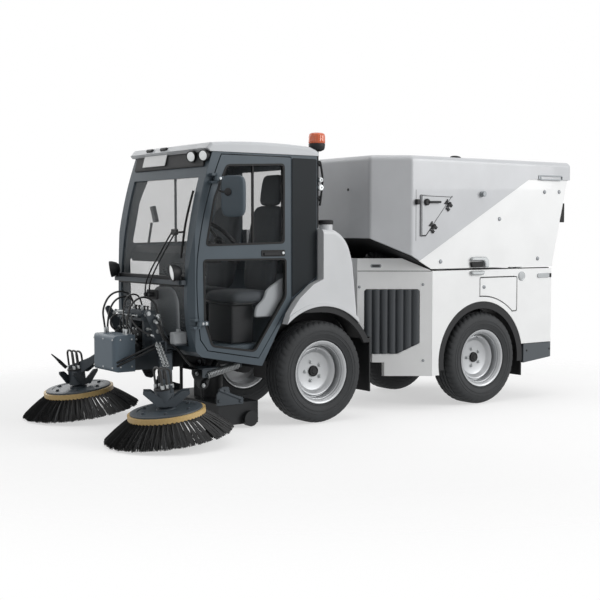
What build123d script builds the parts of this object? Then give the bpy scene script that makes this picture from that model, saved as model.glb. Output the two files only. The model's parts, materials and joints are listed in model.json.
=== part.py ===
"""A compact articulated street sweeper: cab and brushes in front, hopper behind, hinged in the middle.

Sizes are millimetres. The machine is drawn about the point on the ground under its articulation pin,
which is halfway between the axles: X forward, Y to the left, Z up. Every node is then moved by the same
amount, so that the origin is at the middle of the bottom of the whole machine. A pair of numbers named
for an axis, such as RAIL_Z, is a low and a high place on that axis.
"""

import os
from math import atan2, cos, hypot, radians, sin, tan

from build123d import *

# Whole machine
AXLE_X = 800
BODY_Y = 620
WALL = 25
SEAM = 3
FIT = 0.1
TAIL_X = -1815
FAR = 3000

# Wheels
TYRE_R = 367
TYRE_W = 235
RIM_R = 228
SEAT_R = 205
WHEEL_Y = BODY_Y - TYRE_W / 2
DISC_THICK = 12
HUB_BORE_R = 40
STUB_R = 38
HUB_R = 105
BEAM_R = 50
BEAM_Y = 400
GEARBOX = 110

# Frames and articulation
PIN_R = 35
EYE_R = 80
EYE_Z = (350, 570)
FORK_Z = ((318, 343), (577, 602))
FORK_Y = 100
FORK_X = (-230, -170)
TONGUE_Y = 120
RAIL_Y = (200, 260)
RAIL_Z = (435, 540)
REAR_RAIL_X = (-1500, -170)
FRONT_RAIL_X = (420, 1740)
CROSS = 60
JACK_PAD_Z = 420
TOW_EYE_X = -1600
TOW_EYE_R = 20
TRAY_Z = (1012, 1030)

# Rear lower body
REAR_X = -1575
SIDE_FRONT_X = -245
NOSE_X = 220
NOSE_Y = 285
SILL_Z = 265
DECK_Z = 1073
COWL_Z = 1170
ARCH = (-778, 360)
ARCH_R = 462
ARCH_LIP_R = 406
LINER = 12
BUMPER_Z = (320, 456)
BUMPER_FRONT_X = -1252
BUMPER_REAR_X = -1610
GRILLE_S = (93, 520)
GRILLE_Z = (436, 934)
GRILLE_CUT = 60
GRILLE_CORNER = 22
RIBS = 9

# Service flap, cut below by the wheel arch
FLAP_X = (-1170, -753)
FLAP_Z = (732, 1011)
FLAP_ARCH_R = 503
FLAP_GAP = 5

# Hopper
HOPPER_PIVOT = (-1560, 1052)
HINGE_PIN_R = 12
HOPPER_FRONT_X = 222
HOPPER_FRONT_Y = 432
HOPPER_CHAMFER_X = -40
HOPPER_TOP_Z = 1950
HOPPER_WALL = 30
HOPPER_ROUND = 42
HOOD_PROUD = 10
FLOOR_Z = 1088
FRONT_FLOOR_Z = 1326
TAILGATE_FOOT = (-1595, 1120)
TAILGATE_HEAD = (-1765, 1800)
GATE_Y = 560
GATE_GAP = 6
GATE_THICK = 40
GATE_AXIS = (-1768, 1786)
GATE_RIB_Y = (-420, -140, 140, 420)

# Tipping rams
RAM_Y = 300
RAM_FOOT = (-1250, 560)
RAM_HEAD = (-1080, 1032)
RAM_FOOT_PIN_R = 18
RAM_HEAD_PIN_R = 12
RAM_EYE_SLACK = 11.5

# Cab
CAB_Y = 550
CAB_WALL = 36
CAB_REAR_X = 800
ROOF_Z = 1913
ROOF_ROUND = 22
DOOR_GAP = 6
DOOR_REAR_X = 1030
GLASS = 6
GLASS_Y = (CAB_Y - 20, CAB_Y - 20 + GLASS)
PANE_ROUND = 28
TUNNEL_Y = 275
FLOOR_PLATE_Z = (560, 590)
DOOR_HINGE_Y = 580
DOOR_HINGES = ((1660, 1730), (1800, 760))
KNUCKLE_R = 14
DOOR_PIN_R = 6

# Front wheel housings
FENDER_Y = 385
FENDER = (800, 370)
FENDER_R = 473
FENDER_LIP_R = 428
FENDER_ROUND = 32
FLARE = 26
FLARE_PROUD = 7

# Sweeping gear: the brush discs lean forward by the tilt
TILT = radians(7)
BRUSH_X = 2097
BRUSH_Y = 665
BRUSH_Z = 200
RING_R = 255
RING_WIDE = 35
RING_TALL = 36
TIP_R = 410
TUFT_LONG = 40
BRISTLE_DROP = 143
TUFTS = 30
HUB_SHAFT_R = 22
MOTOR_R = 62
MOTOR_Z = (50, 170)
POST_X = 1880
POST_Y = 270
POST_R = 48
POST_PIN_R = 25
POST_Z = (430, 567)
HOLDER_Z = (576, 626)
LIFT_S = 75
LIFT_Z = 520
LIFT_PIN_R = 12
ARM_Y = 39
ARM_PLATE = 14
MOUTH_X = (1230, 1560)
MOUTH_Y = 430
MOUTH_Z = (25, 180)
MOUTH_WALL = 15
DUCT_X = 1380
DUCT_R = 105
GUIDE_X = 1520
GUIDE_Y = 150
GUIDE_R = 12

NOSE_TIP_X = BRUSH_X - BRISTLE_DROP * sin(TILT) + TIP_R * cos(TILT)
FRAME_X = (NOSE_TIP_X + TAIL_X) / 2

NODES = {}


def node(name, *solids):
    """Keep the solids of one named piece."""
    NODES[name] = solids


def span(*ends):
    """Return two places in rising order."""
    return tuple(sorted(ends))


def block(x, y, z):
    """Return a box between low and high places on each axis."""
    spans = (x, y, z)
    middle = [(low + high) / 2 for low, high in spans]
    size = [high - low for low, high in spans]
    return Pos(*middle) * Box(*size)


def mirrored(shape):
    """Return the right-hand twin of a left-hand shape."""
    return mirror(shape, about=Plane.XZ)


def pair(shape):
    """Return a left-hand shape and its right-hand twin."""
    return shape, mirrored(shape)


def both(shape):
    """Return a left-hand shape joined to its right-hand twin."""
    return shape + mirrored(shape)


def outline(legs, place):
    """Return a closed face. A leg is its end point, or an arc's middle and end points in a pair."""
    edges = []
    here = legs[0]
    for leg in [*legs[1:], legs[0]]:
        if isinstance(leg[0], tuple):
            middle, end = leg
            edges.append(Edge.make_three_point_arc(place(here), place(middle), place(end)))
        else:
            end = leg
            edges.append(Edge.make_line(place(here), place(end)))
        here = end
    return Face(Wire(edges))


def rounded(face, radius):
    """Return a flat face with its corners rounded."""
    return face.fillet_2d(radius, face.vertices()) if radius else face


def side_face(legs, y=0.0, corner=0):
    """Return a face of (x, z) legs, upright and facing sideways."""
    return rounded(outline(legs, lambda point: (point[0], y, point[1])), corner)


def side_plate(legs, y, corner=0):
    """Extrude an outline of (x, z) legs between two y values."""
    return extrude(side_face(legs, y[0], corner), amount=y[1] - y[0], dir=(0, 1, 0))


def plan_plate(legs, z, corner=0):
    """Extrude an outline of (x, y) legs between two z values."""
    face = rounded(outline(legs, lambda point: (*point, z[0])), corner)
    return extrude(face, amount=z[1] - z[0], dir=(0, 0, 1))


def bar(start, end, radius):
    """Return a round bar between two points."""
    axis = Vector(*end) - Vector(*start)
    return extrude(Plane(origin=start, z_dir=axis) * Circle(radius), amount=axis.length)


def drum(centre, radius, y):
    """Return a cylinder along Y about an (x, z) centre."""
    x, z = centre
    return bar((x, y[0], z), (x, y[1], z), radius)


def turned_wheel(profile, x):
    """Turn a profile of (offset from the wheel's middle, radius) about a left-hand wheel's axle."""
    face = outline(profile, lambda point: (x, WHEEL_Y + point[0], TYRE_R + point[1]))
    return revolve(face, axis=Axis((x, 0, TYRE_R), (0, 1, 0)))


# Wheels: a tyre with a crowned tread, and a rim with a dished disc and a groove round it
SHOULDER = 350
TREAD_Y = 70
BULGE_R = 288
BEAD_Y = 85
TYRE_PROFILE = [
    (-BEAD_Y, SEAT_R), (-TYRE_W / 2, BULGE_R), (-100, SHOULDER), (-TREAD_Y, TYRE_R),
    (TREAD_Y, TYRE_R), (100, SHOULDER), (TYRE_W / 2, BULGE_R), (BEAD_Y, SEAT_R),
]
RIM_PROFILE = [
    (-102, RIM_R), (-95, RIM_R), (-95, SEAT_R), (95, SEAT_R), (95, RIM_R), (102, RIM_R),
    (86, 196), (24, 192), (22, 180), (34, 174), (0, 112), (0, HUB_BORE_R),
    (-DISC_THICK, HUB_BORE_R), (-DISC_THICK, 116), (4, 186), (-86, 196),
]
for end, axle_x in (("front", AXLE_X), ("rear", -AXLE_X)):
    for part, profile in (("tyre", TYRE_PROFILE), ("rim", RIM_PROFILE)):
        left, right = pair(turned_wheel(profile, axle_x))
        node(f"{part}_{end}_left", left)
        node(f"{part}_{end}_right", right)


def axle(x):
    """Return a rigid drive axle with its hubs and the two saddles that carry the rails."""
    hub_y = WHEEL_Y - DISC_THICK - 8
    half = drum((x, TYRE_R), BEAM_R, (0, BEAM_Y))
    half += drum((x, TYRE_R), HUB_R, (BEAM_Y, hub_y))
    half += drum((x, TYRE_R), STUB_R, (hub_y, WHEEL_Y + 4))
    half += block((x - GEARBOX, x + GEARBOX), (0, GEARBOX), (TYRE_R - 95, TYRE_R + GEARBOX))
    half += block((x - CROSS, x + CROSS), RAIL_Y, (TYRE_R + 40, RAIL_Z[0]))
    return both(half)


def ladder(rail_x):
    """Return two box rails with a cross member at each end."""
    low, high = rail_x
    half = block(rail_x, RAIL_Y, RAIL_Z)
    for cross_x in ((low, low + CROSS), (high - CROSS, high)):
        half += block(cross_x, (0, RAIL_Y[1]), RAIL_Z)
    return both(half)


def jack_pad(x, y):
    """Return a thick pad under a cross member."""
    return block(x, y, (JACK_PAD_Z, RAIL_Z[0]))


# Rear frame: ladder, fork, hopper posts, ram brackets, deck tray and towing eye
hinge_x, hinge_z = HOPPER_PIVOT
ram_x, ram_z = RAM_FOOT
post_x = (REAR_RAIL_X[0], REAR_RAIL_X[0] + CROSS)
rear_frame = ladder(REAR_RAIL_X) + both(jack_pad(post_x, (100, 190)))
for fork_z in FORK_Z:
    rear_frame += block((FORK_X[0], 0), (-FORK_Y, FORK_Y), fork_z)
    rear_frame += bar((0, 0, fork_z[0]), (0, 0, fork_z[1]), FORK_Y)
rear_frame += block(FORK_X, (-FORK_Y, FORK_Y), (FORK_Z[0][0], FORK_Z[1][1]))
rear_frame += bar((0, 0, FORK_Z[0][0] - 12), (0, 0, FORK_Z[1][1] + 12), PIN_R)
POST_TOP_Z = 1010
hopper_post = block(post_x, RAIL_Y, (RAIL_Z[1], POST_TOP_Z))
hopper_post += side_plate(
    [(post_x[0], 960), (post_x[1], 960), (post_x[1], POST_TOP_Z), (hinge_x + 18, hinge_z + 18),
     (hinge_x - 14, hinge_z + 14), (hinge_x - 14, hinge_z - 22)], (220, 240))
hopper_post += drum(HOPPER_PIVOT, HINGE_PIN_R, (176, 284))
hopper_post += block((post_x[0] - 50, post_x[0]), RAIL_Y, (470, RAIL_Z[1]))
RAM_LUG_Z = 440
for lug_y in ((RAM_Y - 54, RAM_Y - 40), (RAM_Y + 40, RAM_Y + 54)):
    hopper_post += side_plate(
        [(ram_x - 60, RAM_LUG_Z), (ram_x + 60, RAM_LUG_Z), (ram_x + 30, ram_z + 30),
         (ram_x - 30, ram_z + 30)], lug_y)
hopper_post += block((ram_x - 60, ram_x + 60), (RAIL_Y[1] - 10, RAM_Y + 54), (RAM_LUG_Z, RAM_LUG_Z + 25))
hopper_post += drum(RAM_FOOT, RAM_FOOT_PIN_R, (RAM_Y - 54, RAM_Y + 54))
rear_frame += both(hopper_post)
tow_eye = plan_plate([(-1500, -45), (-1500, 45), (TOW_EYE_X, 45), ((TOW_EYE_X - 45, 0), (TOW_EYE_X, -45))],
                     (400, 440))
tow_eye -= bar((TOW_EYE_X, 0, 390), (TOW_EYE_X, 0, 450), TOW_EYE_R)
rear_frame += tow_eye
rear_frame += block((REAR_RAIL_X[0], REAR_RAIL_X[0] + CROSS), (-45, 45), (400, RAIL_Z[0]))

# Nose: two slanted walls with a grille each, joined by the front wall, under a cowl
slant = atan2(BODY_Y - NOSE_Y, NOSE_X - SIDE_FRONT_X)
slant_shift = WALL / cos(slant)
inner_front_x = NOSE_X - WALL


def slant_y(x, inset=0.0):
    """Return the half-width of the nose at x, taken in by an inset."""
    return BODY_Y - (x - SIDE_FRONT_X) * tan(slant) - inset


nose_half = [(SIDE_FRONT_X, BODY_Y), (NOSE_X, NOSE_Y), (NOSE_X, 0), (inner_front_x, 0),
             (inner_front_x, slant_y(inner_front_x, slant_shift)),
             (SIDE_FRONT_X, BODY_Y - slant_shift)]
slant_plane = Plane(origin=(SIDE_FRONT_X, BODY_Y, 0), x_dir=(cos(slant), -sin(slant), 0),
                    z_dir=(-sin(slant), -cos(slant), 0))


def grille_face(inset):
    """Return the grille's outline on the slanted wall, taken in by an inset, its rear foot cut off."""
    s0, s1 = GRILLE_S[0] + inset, GRILLE_S[1] - inset
    z0, z1 = GRILLE_Z[0] + inset, GRILLE_Z[1] - inset
    legs = [(s0 + GRILLE_CUT, z0), (s1, z0), (s1, z1), (s0, z1), (s0, z0 + GRILLE_CUT)]
    return slant_plane * rounded(outline(legs, lambda point: (*point, 0)), GRILLE_CORNER)


SWING_CUTS = ((50, 370), (125, 625))
nose_left = plan_plate(nose_half, (SILL_Z, DECK_Z - SEAM))
for cut_x, cut_z in SWING_CUTS:
    nose_left -= block((cut_x, FAR), (-10, FAR), (0, cut_z))
nose_left -= extrude(grille_face(0), amount=60, both=True)
node("nose_panel", both(nose_left))
MESH_DEPTH = (6, 18)
grille = extrude(grille_face(0), amount=MESH_DEPTH[1]) - extrude(grille_face(0), amount=MESH_DEPTH[0])
RIB_MARGIN = 15
RIB_FILL = 0.7
RIB_DEEP = 26
rib_pitch = (GRILLE_S[1] - GRILLE_S[0] - 2 * RIB_MARGIN) / RIBS
for index in range(RIBS):
    rib_s = GRILLE_S[0] + RIB_MARGIN + rib_pitch * (index + 0.5)
    cut = max(0, GRILLE_S[0] + GRILLE_CUT + rib_pitch / 2 - rib_s)
    foot, head = GRILLE_Z[0] + 12 + cut, GRILLE_Z[1] - 12
    rib = Pos(rib_s, (foot + head) / 2, 5) * Box(rib_pitch * RIB_FILL, head - foot, RIB_DEEP)
    rib = fillet(rib.faces().sort_by(Axis.Z)[0].edges().filter_by(Axis.Y), 11)
    grille += slant_plane * rib
node("nose_grilles", *pair(grille))
FLOOR_SLOPE = (FRONT_FLOOR_Z - FLOOR_Z) / (HOPPER_FRONT_X - SIDE_FRONT_X)
HOPPER_GAP = 14
above_cowl = side_plate(
    [(SIDE_FRONT_X - 10, FLOOR_Z - HOPPER_GAP - 10 * FLOOR_SLOPE), (HOPPER_FRONT_X, FRONT_FLOOR_Z - HOPPER_GAP),
     (HOPPER_FRONT_X, FAR), (SIDE_FRONT_X - 10, FAR)], (-10, FAR))
node("nose_cowl", both(plan_plate(nose_half, (DECK_Z - SEAM, COWL_Z)) - above_cowl))
tray_half = [(SIDE_FRONT_X, 0), (SIDE_FRONT_X, BODY_Y - slant_shift), *reversed(nose_half[3:5])]
tray = plan_plate([tray_half[0], tray_half[1], tray_half[2], (inner_front_x, 0)], TRAY_Z)
tray += block((FORK_X[0], FORK_X[1]), (0, FORK_Y), (FORK_Z[1][1], TRAY_Z[0]))
rear_frame += both(tray)
node("rear_frame", rear_frame)
node("rear_axle", axle(-AXLE_X))
node("power_pack", block((-1020, -240), (-350, 350), (RAIL_Z[1], POST_TOP_Z)))

# Rear side panels, with the service flap let into the left one
side_y = (BODY_Y - WALL, BODY_Y)
panel_foot = BUMPER_Z[1] + 4
side_panel = side_plate(
    [(SIDE_FRONT_X - SEAM, SILL_Z), (SIDE_FRONT_X - SEAM, DECK_Z), (REAR_X, DECK_Z), (REAR_X, panel_foot),
     (-1220, panel_foot), (-1220, SILL_Z)], side_y)
side_panel -= drum(ARCH, ARCH_R, (0, FAR))


def flap_form(gap):
    """Return the service flap, grown by a gap for the opening that it closes."""
    x, z = (FLAP_X[0] - gap, FLAP_X[1] + gap), (FLAP_Z[0] - gap, FLAP_Z[1] + gap)
    legs = [(x[0], z[0]), (x[1], z[0]), (x[1], z[1]), (x[0], z[1])]
    return side_plate(legs, side_y, 20) - drum(ARCH, FLAP_ARCH_R - gap, (0, FAR))


node("side_panels", side_panel - flap_form(FLAP_GAP), mirrored(side_panel))
node("service_flap", flap_form(0))

# Rear wheel housings with mudflaps, rear wall, lamps and bumper
arch_x, arch_z = ARCH
housing = drum(ARCH, ARCH_R, (BODY_Y - WALL - 3, BODY_Y - 4)) - drum(ARCH, ARCH_LIP_R, (0, FAR))
housing += drum(ARCH, ARCH_R, (360, BODY_Y - 4)) - drum(ARCH, ARCH_R - LINER, (0, FAR))
housing -= block((-FAR, FAR), (0, FAR), (-FAR, 300))
housing -= block((-FAR, arch_x), (0, FAR), (-FAR, BUMPER_Z[0]))
housing += block((arch_x - ARCH_R + 2, arch_x - ARCH_R + 14), (380, BODY_Y - 8), (200, BUMPER_Z[1]))
node("rear_housings", *pair(housing))
rear_wall = block((REAR_X, REAR_X + WALL), (-BODY_Y + WALL, BODY_Y - WALL), (panel_foot, 1060))
rear_wall -= both(block((REAR_X - 5, REAR_X + WALL + 5), (170, 290), (1005, 1070)))
node("rear_wall", rear_wall)
rear_lamp = block((REAR_X - 22, REAR_X), (430, 570), (560, 900))
rear_lamp = fillet(rear_lamp.faces().sort_by(Axis.X)[0].edges(), 8)
node("rear_lamps", *pair(rear_lamp))
BUMPER_THICK = 77
BUMPER_ROUND = 60
bumper = plan_plate(
    [(BUMPER_FRONT_X, BODY_Y + 2), (BUMPER_REAR_X, BODY_Y + 2), (BUMPER_REAR_X, 60), (-1500, 60),
     (-1500, BODY_Y - BUMPER_THICK), (BUMPER_FRONT_X, BODY_Y - BUMPER_THICK)], (290, BUMPER_Z[1]))
bumper = fillet(bumper.edges().filter_by(Axis.Z).group_by(Axis.X)[0].sort_by(Axis.Y)[-1], BUMPER_ROUND)
bumper -= side_plate([(BUMPER_FRONT_X + 50, 297), (BUMPER_REAR_X - 50, 343), (BUMPER_REAR_X - 50, 0),
                      (BUMPER_FRONT_X + 50, 0)], (0, FAR))
node("rear_bumper", *pair(bumper))

# Hopper: one hollow body, parted into the white tub and the grey hood
HOPPER_FLOOR = 30
hopper_side = [(TAILGATE_FOOT[0], FLOOR_Z), TAILGATE_FOOT, TAILGATE_HEAD, (TAIL_X, 1807), (TAIL_X, HOPPER_TOP_Z),
               (HOPPER_FRONT_X, HOPPER_TOP_Z), (HOPPER_FRONT_X, FRONT_FLOOR_Z), (SIDE_FRONT_X, FLOOR_Z)]
cavity_top = HOPPER_TOP_Z - HOPPER_WALL - 15
cavity_front = HOPPER_FRONT_X - HOPPER_WALL
cavity_side = [(-1660, FLOOR_Z + HOPPER_FLOOR), (-1900, 1780), (-1740, 1780), (-1700, cavity_top),
               (cavity_front, cavity_top), (cavity_front, FRONT_FLOOR_Z + 20),
               (SIDE_FRONT_X - 8, FLOOR_Z + HOPPER_FLOOR)]


def hopper_plan(inset):
    """Return the hopper's outline from above, taken in by an inset."""
    half = [(-FAR, BODY_Y - inset), (HOPPER_CHAMFER_X - inset * 0.3, BODY_Y - inset),
            (HOPPER_FRONT_X - inset, HOPPER_FRONT_Y - inset * 0.6)]
    return half + [(x, -y) for x, y in reversed(half)]


def hopper_solid(legs, inset):
    """Return the hopper's form within a side outline and a plan outline."""
    return side_plate(legs, (-FAR, FAR)) & plan_plate(hopper_plan(inset), (0, FAR))


PARTING = [(-112, 1150), (-1308, 1802), (-FAR, 1804)]
below_parting = side_plate(PARTING + [(-FAR, 0), (-112, 0)], (-FAR, FAR))
gate_space = block((-FAR, -1500), (-GATE_Y - GATE_GAP, GATE_Y + GATE_GAP), (1118, 1802))
cavity = hopper_solid(cavity_side, HOPPER_WALL + 8)
hopper_outer = hopper_solid(hopper_side, 0)
upright_edges = hopper_outer.edges().filter_by(Axis.Z).filter_by(lambda edge: edge.length > 3 * HOPPER_ROUND)
round_edges = upright_edges + hopper_outer.faces().sort_by(Axis.Z)[-1].edges()
hood = fillet(round_edges, HOPPER_ROUND) - cavity - below_parting - gate_space
tub = (hopper_solid(hopper_side, HOOD_PROUD) - cavity - gate_space) & below_parting

# Hatch on the left of the hood, hung on two hinges along its slanted edge
HATCH = [(-122, 1651), (-461, 1645), (-180, 1341), (-122, 1341)]
HATCH_HOLE = [(-150, 1625), (-400, 1621), (-190, 1394), (-150, 1394)]
HATCH_Y = (BODY_Y + 1, BODY_Y + 13)
HATCH_AXIS_Y = 634
HATCH_KNUCKLE = (8, 24)
HATCH_PIN_R = 4
HATCH_EDGE = 11
hatch_along = Vector(HATCH[2][0] - HATCH[1][0], 0, HATCH[2][1] - HATCH[1][1])
hatch_step = hatch_along.normalized()
hatch_in = Vector(-hatch_step.Z, 0, hatch_step.X)


def beside_hinge(point, inward):
    """Return an (x, z) point moved from the hatch's hinge line into the hatch."""
    return (point[0] + hatch_in.X * inward, point[1] + hatch_in.Z * inward)


hatch = side_plate([HATCH[0], beside_hinge(HATCH[1], HATCH_EDGE), beside_hinge(HATCH[2], HATCH_EDGE), HATCH[3]],
                   HATCH_Y)
hood -= side_plate(HATCH_HOLE, (540, 640))
radius, length = HATCH_KNUCKLE
for share in (0.22, 0.78):
    middle = Vector(HATCH[1][0], HATCH_AXIS_Y, HATCH[1][1]) + hatch_along * share
    half, clear, reach = (hatch_step * (length * part) for part in (0.5, 1.2, 1.15))
    tab_ends = [((middle + half * way).X, (middle + half * way).Z) for way in (-1, 1)]
    tab = [tab_ends[0], tab_ends[1], beside_hinge(tab_ends[1], 20), beside_hinge(tab_ends[0], 20)]
    hatch += side_plate(tab, (HATCH_Y[0] + 3, HATCH_Y[1])) + bar(middle - half, middle + half, radius)
    hatch -= bar(middle - clear, middle + clear, HATCH_PIN_R + FIT)
    hood += bar(middle - reach, middle + reach, HATCH_PIN_R)
    for way in (1, -1):
        inner = middle + hatch_step * (way * (length / 2 + 1))
        outer = middle + hatch_step * (way * (length / 2 + 15))
        hood += bar(inner, outer, radius)
        stand = (inner + outer) * 0.5
        hood += bar(stand, (stand.X, BODY_Y - 2, stand.Z), radius - 2)
node("hopper_hatch", hatch)

# Hinge lugs, ram ears and gate pin of the hopper
lug_legs = [(hinge_x - 25, FLOOR_Z + 5), (hinge_x + 60, FLOOR_Z + 5), (hinge_x + 20, hinge_z - 18),
            (hinge_x - 18, hinge_z - 18)]
lugs = side_plate(lug_legs, (180, 194)) + side_plate(lug_legs, (266, 280))
lugs -= drum(HOPPER_PIVOT, HINGE_PIN_R + FIT, (0, FAR))
head_x, head_z = RAM_HEAD
for lug_y in ((RAM_Y - 36, RAM_Y - 22), (RAM_Y + 22, RAM_Y + 36)):
    lugs += side_plate([(head_x - 45, FLOOR_Z + 5), (head_x + 45, FLOOR_Z + 5), (head_x + 22, head_z - 20),
                        (head_x - 22, head_z - 20)], lug_y)
lugs += drum(RAM_HEAD, RAM_HEAD_PIN_R, (RAM_Y - 36, RAM_Y + 36))
GATE_PIN_R = 7
tub += drum(GATE_AXIS, GATE_PIN_R, (-GATE_Y - GATE_GAP - 10, GATE_Y + GATE_GAP + 10))
node("hopper_tub", tub + both(lugs))
node("hopper_hood", hood)

# Tailgate: a ribbed door hung on three knuckles
foot_x, foot_z = TAILGATE_FOOT
top_x, top_z = TAILGATE_HEAD
gate_lean = (top_x - foot_x) / (top_z - foot_z)
gate_top_z = GATE_AXIS[1] - 14
gate_top_x = foot_x + gate_lean * (gate_top_z - foot_z)
gate = side_plate([(foot_x, foot_z + 8), (gate_top_x, gate_top_z), (gate_top_x + GATE_THICK, gate_top_z),
                   (foot_x + GATE_THICK, foot_z + 8)], (-GATE_Y, GATE_Y))
RIB_PROUD = 22
for rib_y in GATE_RIB_Y:
    rib = side_plate([(foot_x - 12, foot_z + 60), (gate_top_x - 12, gate_top_z - 60),
                      (gate_top_x + 10, gate_top_z - 40), (foot_x + 10, foot_z + 40)], (rib_y - 25, rib_y + 25))
    gate += rib
for knuckle_y in (-400, 0, 400):
    strap = side_plate([(GATE_AXIS[0] - 11, GATE_AXIS[1]), (GATE_AXIS[0] + 11, GATE_AXIS[1]),
                        (gate_top_x + 30, gate_top_z - 4), (gate_top_x + 2, gate_top_z - 4)],
                       (knuckle_y - 40, knuckle_y + 40))
    gate += strap + drum(GATE_AXIS, 13, (knuckle_y - 40, knuckle_y + 40))
gate -= drum(GATE_AXIS, GATE_PIN_R + FIT, (-FAR, FAR))
node("hopper_gate", gate)

# Tipping rams, each a barrel on the frame and a rod on the hopper
ram_axis = Vector(head_x - ram_x, 0, head_z - ram_z)
ram_length = ram_axis.length
ram_dir = ram_axis.normalized()
BARREL_R = (20, 34)
ROD_R = 16


def on_ram(distance):
    """Return the point on the left ram at a distance from its foot."""
    return (ram_x + ram_dir.X * distance, RAM_Y, ram_z + ram_dir.Z * distance)


barrel = bar(on_ram(0), on_ram(ram_length - 80), BARREL_R[1]) - bar(on_ram(45), on_ram(ram_length), BARREL_R[0])
barrel += drum(RAM_FOOT, RAM_FOOT_PIN_R * 2, (RAM_Y - 24, RAM_Y + 24))
barrel -= drum(RAM_FOOT, RAM_FOOT_PIN_R + FIT, (0, FAR))
eye_bore = RAM_HEAD_PIN_R + RAM_EYE_SLACK
rod = bar(on_ram(70), on_ram(ram_length), ROD_R) + drum(RAM_HEAD, eye_bore + 11, (RAM_Y - 16, RAM_Y + 16))
rod -= drum(RAM_HEAD, eye_bore, (0, FAR))
node("ram_barrels", *pair(barrel))
node("ram_rods", *pair(rod))

# Front frame with its tongue, eye, cab feet, outriggers and guides for the suction mouth
front_frame = ladder(FRONT_RAIL_X) + jack_pad((FRONT_RAIL_X[1] - CROSS, FRONT_RAIL_X[1]), (-90, 90))
front_frame += block((0, FRONT_RAIL_X[0] + 10), (-TONGUE_Y, TONGUE_Y), RAIL_Z)
front_frame -= block((-10, 90), (-FAR, FAR), (0, FAR))
front_frame += bar((0, 0, EYE_Z[0]), (0, 0, EYE_Z[1]), EYE_R)
front_frame += block((0, 100), (-EYE_R, EYE_R), RAIL_Z)
front_frame -= bar((0, 0, 0), (0, 0, FAR), PIN_R + FIT)
OUTRIGGER_X = (640, 700)
OUTRIGGER_Z = (900, 950)
front_half = block(OUTRIGGER_X, (RAIL_Y[0], FENDER_Y), OUTRIGGER_Z)
front_half += block(OUTRIGGER_X, RAIL_Y, (RAIL_Z[1], OUTRIGGER_Z[1]))
for foot_span in ((1330, 1400), (1600, 1670)):
    front_half += block(foot_span, RAIL_Y, (RAIL_Z[1], FLOOR_PLATE_Z[0]))
guide_lug = block((GUIDE_X - 30, GUIDE_X + 30), (GUIDE_Y - 25, RAIL_Y[0]), (440, 450))
front_half += guide_lug - bar((GUIDE_X, GUIDE_Y, 0), (GUIDE_X, GUIDE_Y, FAR), GUIDE_R + FIT)
node("front_frame", front_frame + both(front_half))
node("front_axle", axle(AXLE_X))

# Cab: a hollow shell with openings for the screen, doors and windows
SCREEN_TOP_X = 1670
SCREEN_BELLY = (1843, 1032)
SCREEN_FOOT = (1803, 566)
SCREEN_Y = 462
SCREEN_Z = (600, 1742)
REAR_GLASS_Y = 430
REAR_GLASS_Z = (1200, 1830)


def cab_form(shift, inset, half_width):
    """Return the cab's form across its width, its bowed front taken back and the rest taken in."""
    def back(x, z):
        return (x - shift, z)
    top_z = ROOF_Z - inset
    lean = (1793 - SCREEN_TOP_X) / (ROOF_Z - 1470)
    legs = [back(SCREEN_TOP_X + lean * inset * 0.6, top_z), (back(1793, 1470), back(*SCREEN_BELLY)),
            (back(1842, 830), back(*SCREEN_FOOT)), back(1760, 531), (1275 + inset * 0.2, 440 + inset),
            (1020 + inset * 0.4, 890 + inset), (CAB_REAR_X + inset, 1040 + inset), (CAB_REAR_X + inset, top_z)]
    return side_plate(legs, (-half_width, half_width))


cab_half_plan = [(700, CAB_Y), (1810, CAB_Y), (1843, 505), (1900, 430)]
cab_plan = cab_half_plan + [(x, -y) for x, y in reversed(cab_half_plan)]
cab_outer = cab_form(0, 0, CAB_Y + 10) & plan_plate(cab_plan, (0, FAR))
cab_inner = cab_form(CAB_WALL, CAB_WALL, CAB_Y - CAB_WALL)
DOOR = [(1600, 1893), ((1738, 1485), (1790, 1186)), ((1794, 986), (1768, 649)), (1713, 575),
        (1305, 500), (DOOR_REAR_X, 893), (DOOR_REAR_X, 1893)]
UPPER_PANE = [(1560, 1825), (1087, 1845), (1087, 1295), (1725, 1280), (1660, 1600)]
LOWER_PANE = [(1745, 1185), (1072, 1185), (1072, 918), (1335, 545), (1681, 600), (1738, 760)]
QUARTER = [(872, 1080), (998, 985), (998, 1850), (872, 1850)]
door_face = side_face(DOOR, -FAR)
door_opening = extrude(offset(door_face, DOOR_GAP), amount=2 * FAR, dir=(0, 1, 0))
windscreen_space = block((1500, 2000), (-SCREEN_Y, SCREEN_Y), SCREEN_Z)
rear_window = block((CAB_REAR_X - 100, CAB_REAR_X + 100), (-REAR_GLASS_Y, REAR_GLASS_Y), REAR_GLASS_Z)
cab = cab_outer - cab_inner - door_opening - side_plate(QUARTER, (-FAR, FAR), PANE_ROUND)
cab -= windscreen_space
cab -= rear_window
cab -= block((900, 1900), (-TUNNEL_Y, TUNNEL_Y), (0, FLOOR_PLATE_Z[0]))
cab += block((1100, 1900), (-CAB_Y + 46, CAB_Y - 46), FLOOR_PLATE_Z) & cab_outer
screen = (cab_form(8, 0, SCREEN_Y) - cab_form(8 + GLASS, 0, SCREEN_Y + 20)) & windscreen_space
quarter_glass = side_plate(QUARTER, GLASS_Y, PANE_ROUND)
back_glass = block((CAB_REAR_X + 12, CAB_REAR_X + 12 + GLASS), (-REAR_GLASS_Y, REAR_GLASS_Y), REAR_GLASS_Z)
node("cab_glass", screen, *pair(quarter_glass), back_glass)
roof = side_plate([(788, ROOF_Z), (1690, ROOF_Z), (1715, 1935), (1680, 1974), ((1280, 1990), (860, 1975)),
                   (800, 1952)], (-CAB_Y - 8, CAB_Y + 8))
roof = fillet(roof.edges().filter_by(lambda edge: edge.center().Z > 1940), ROOF_ROUND)
node("cab_roof", roof)

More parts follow.
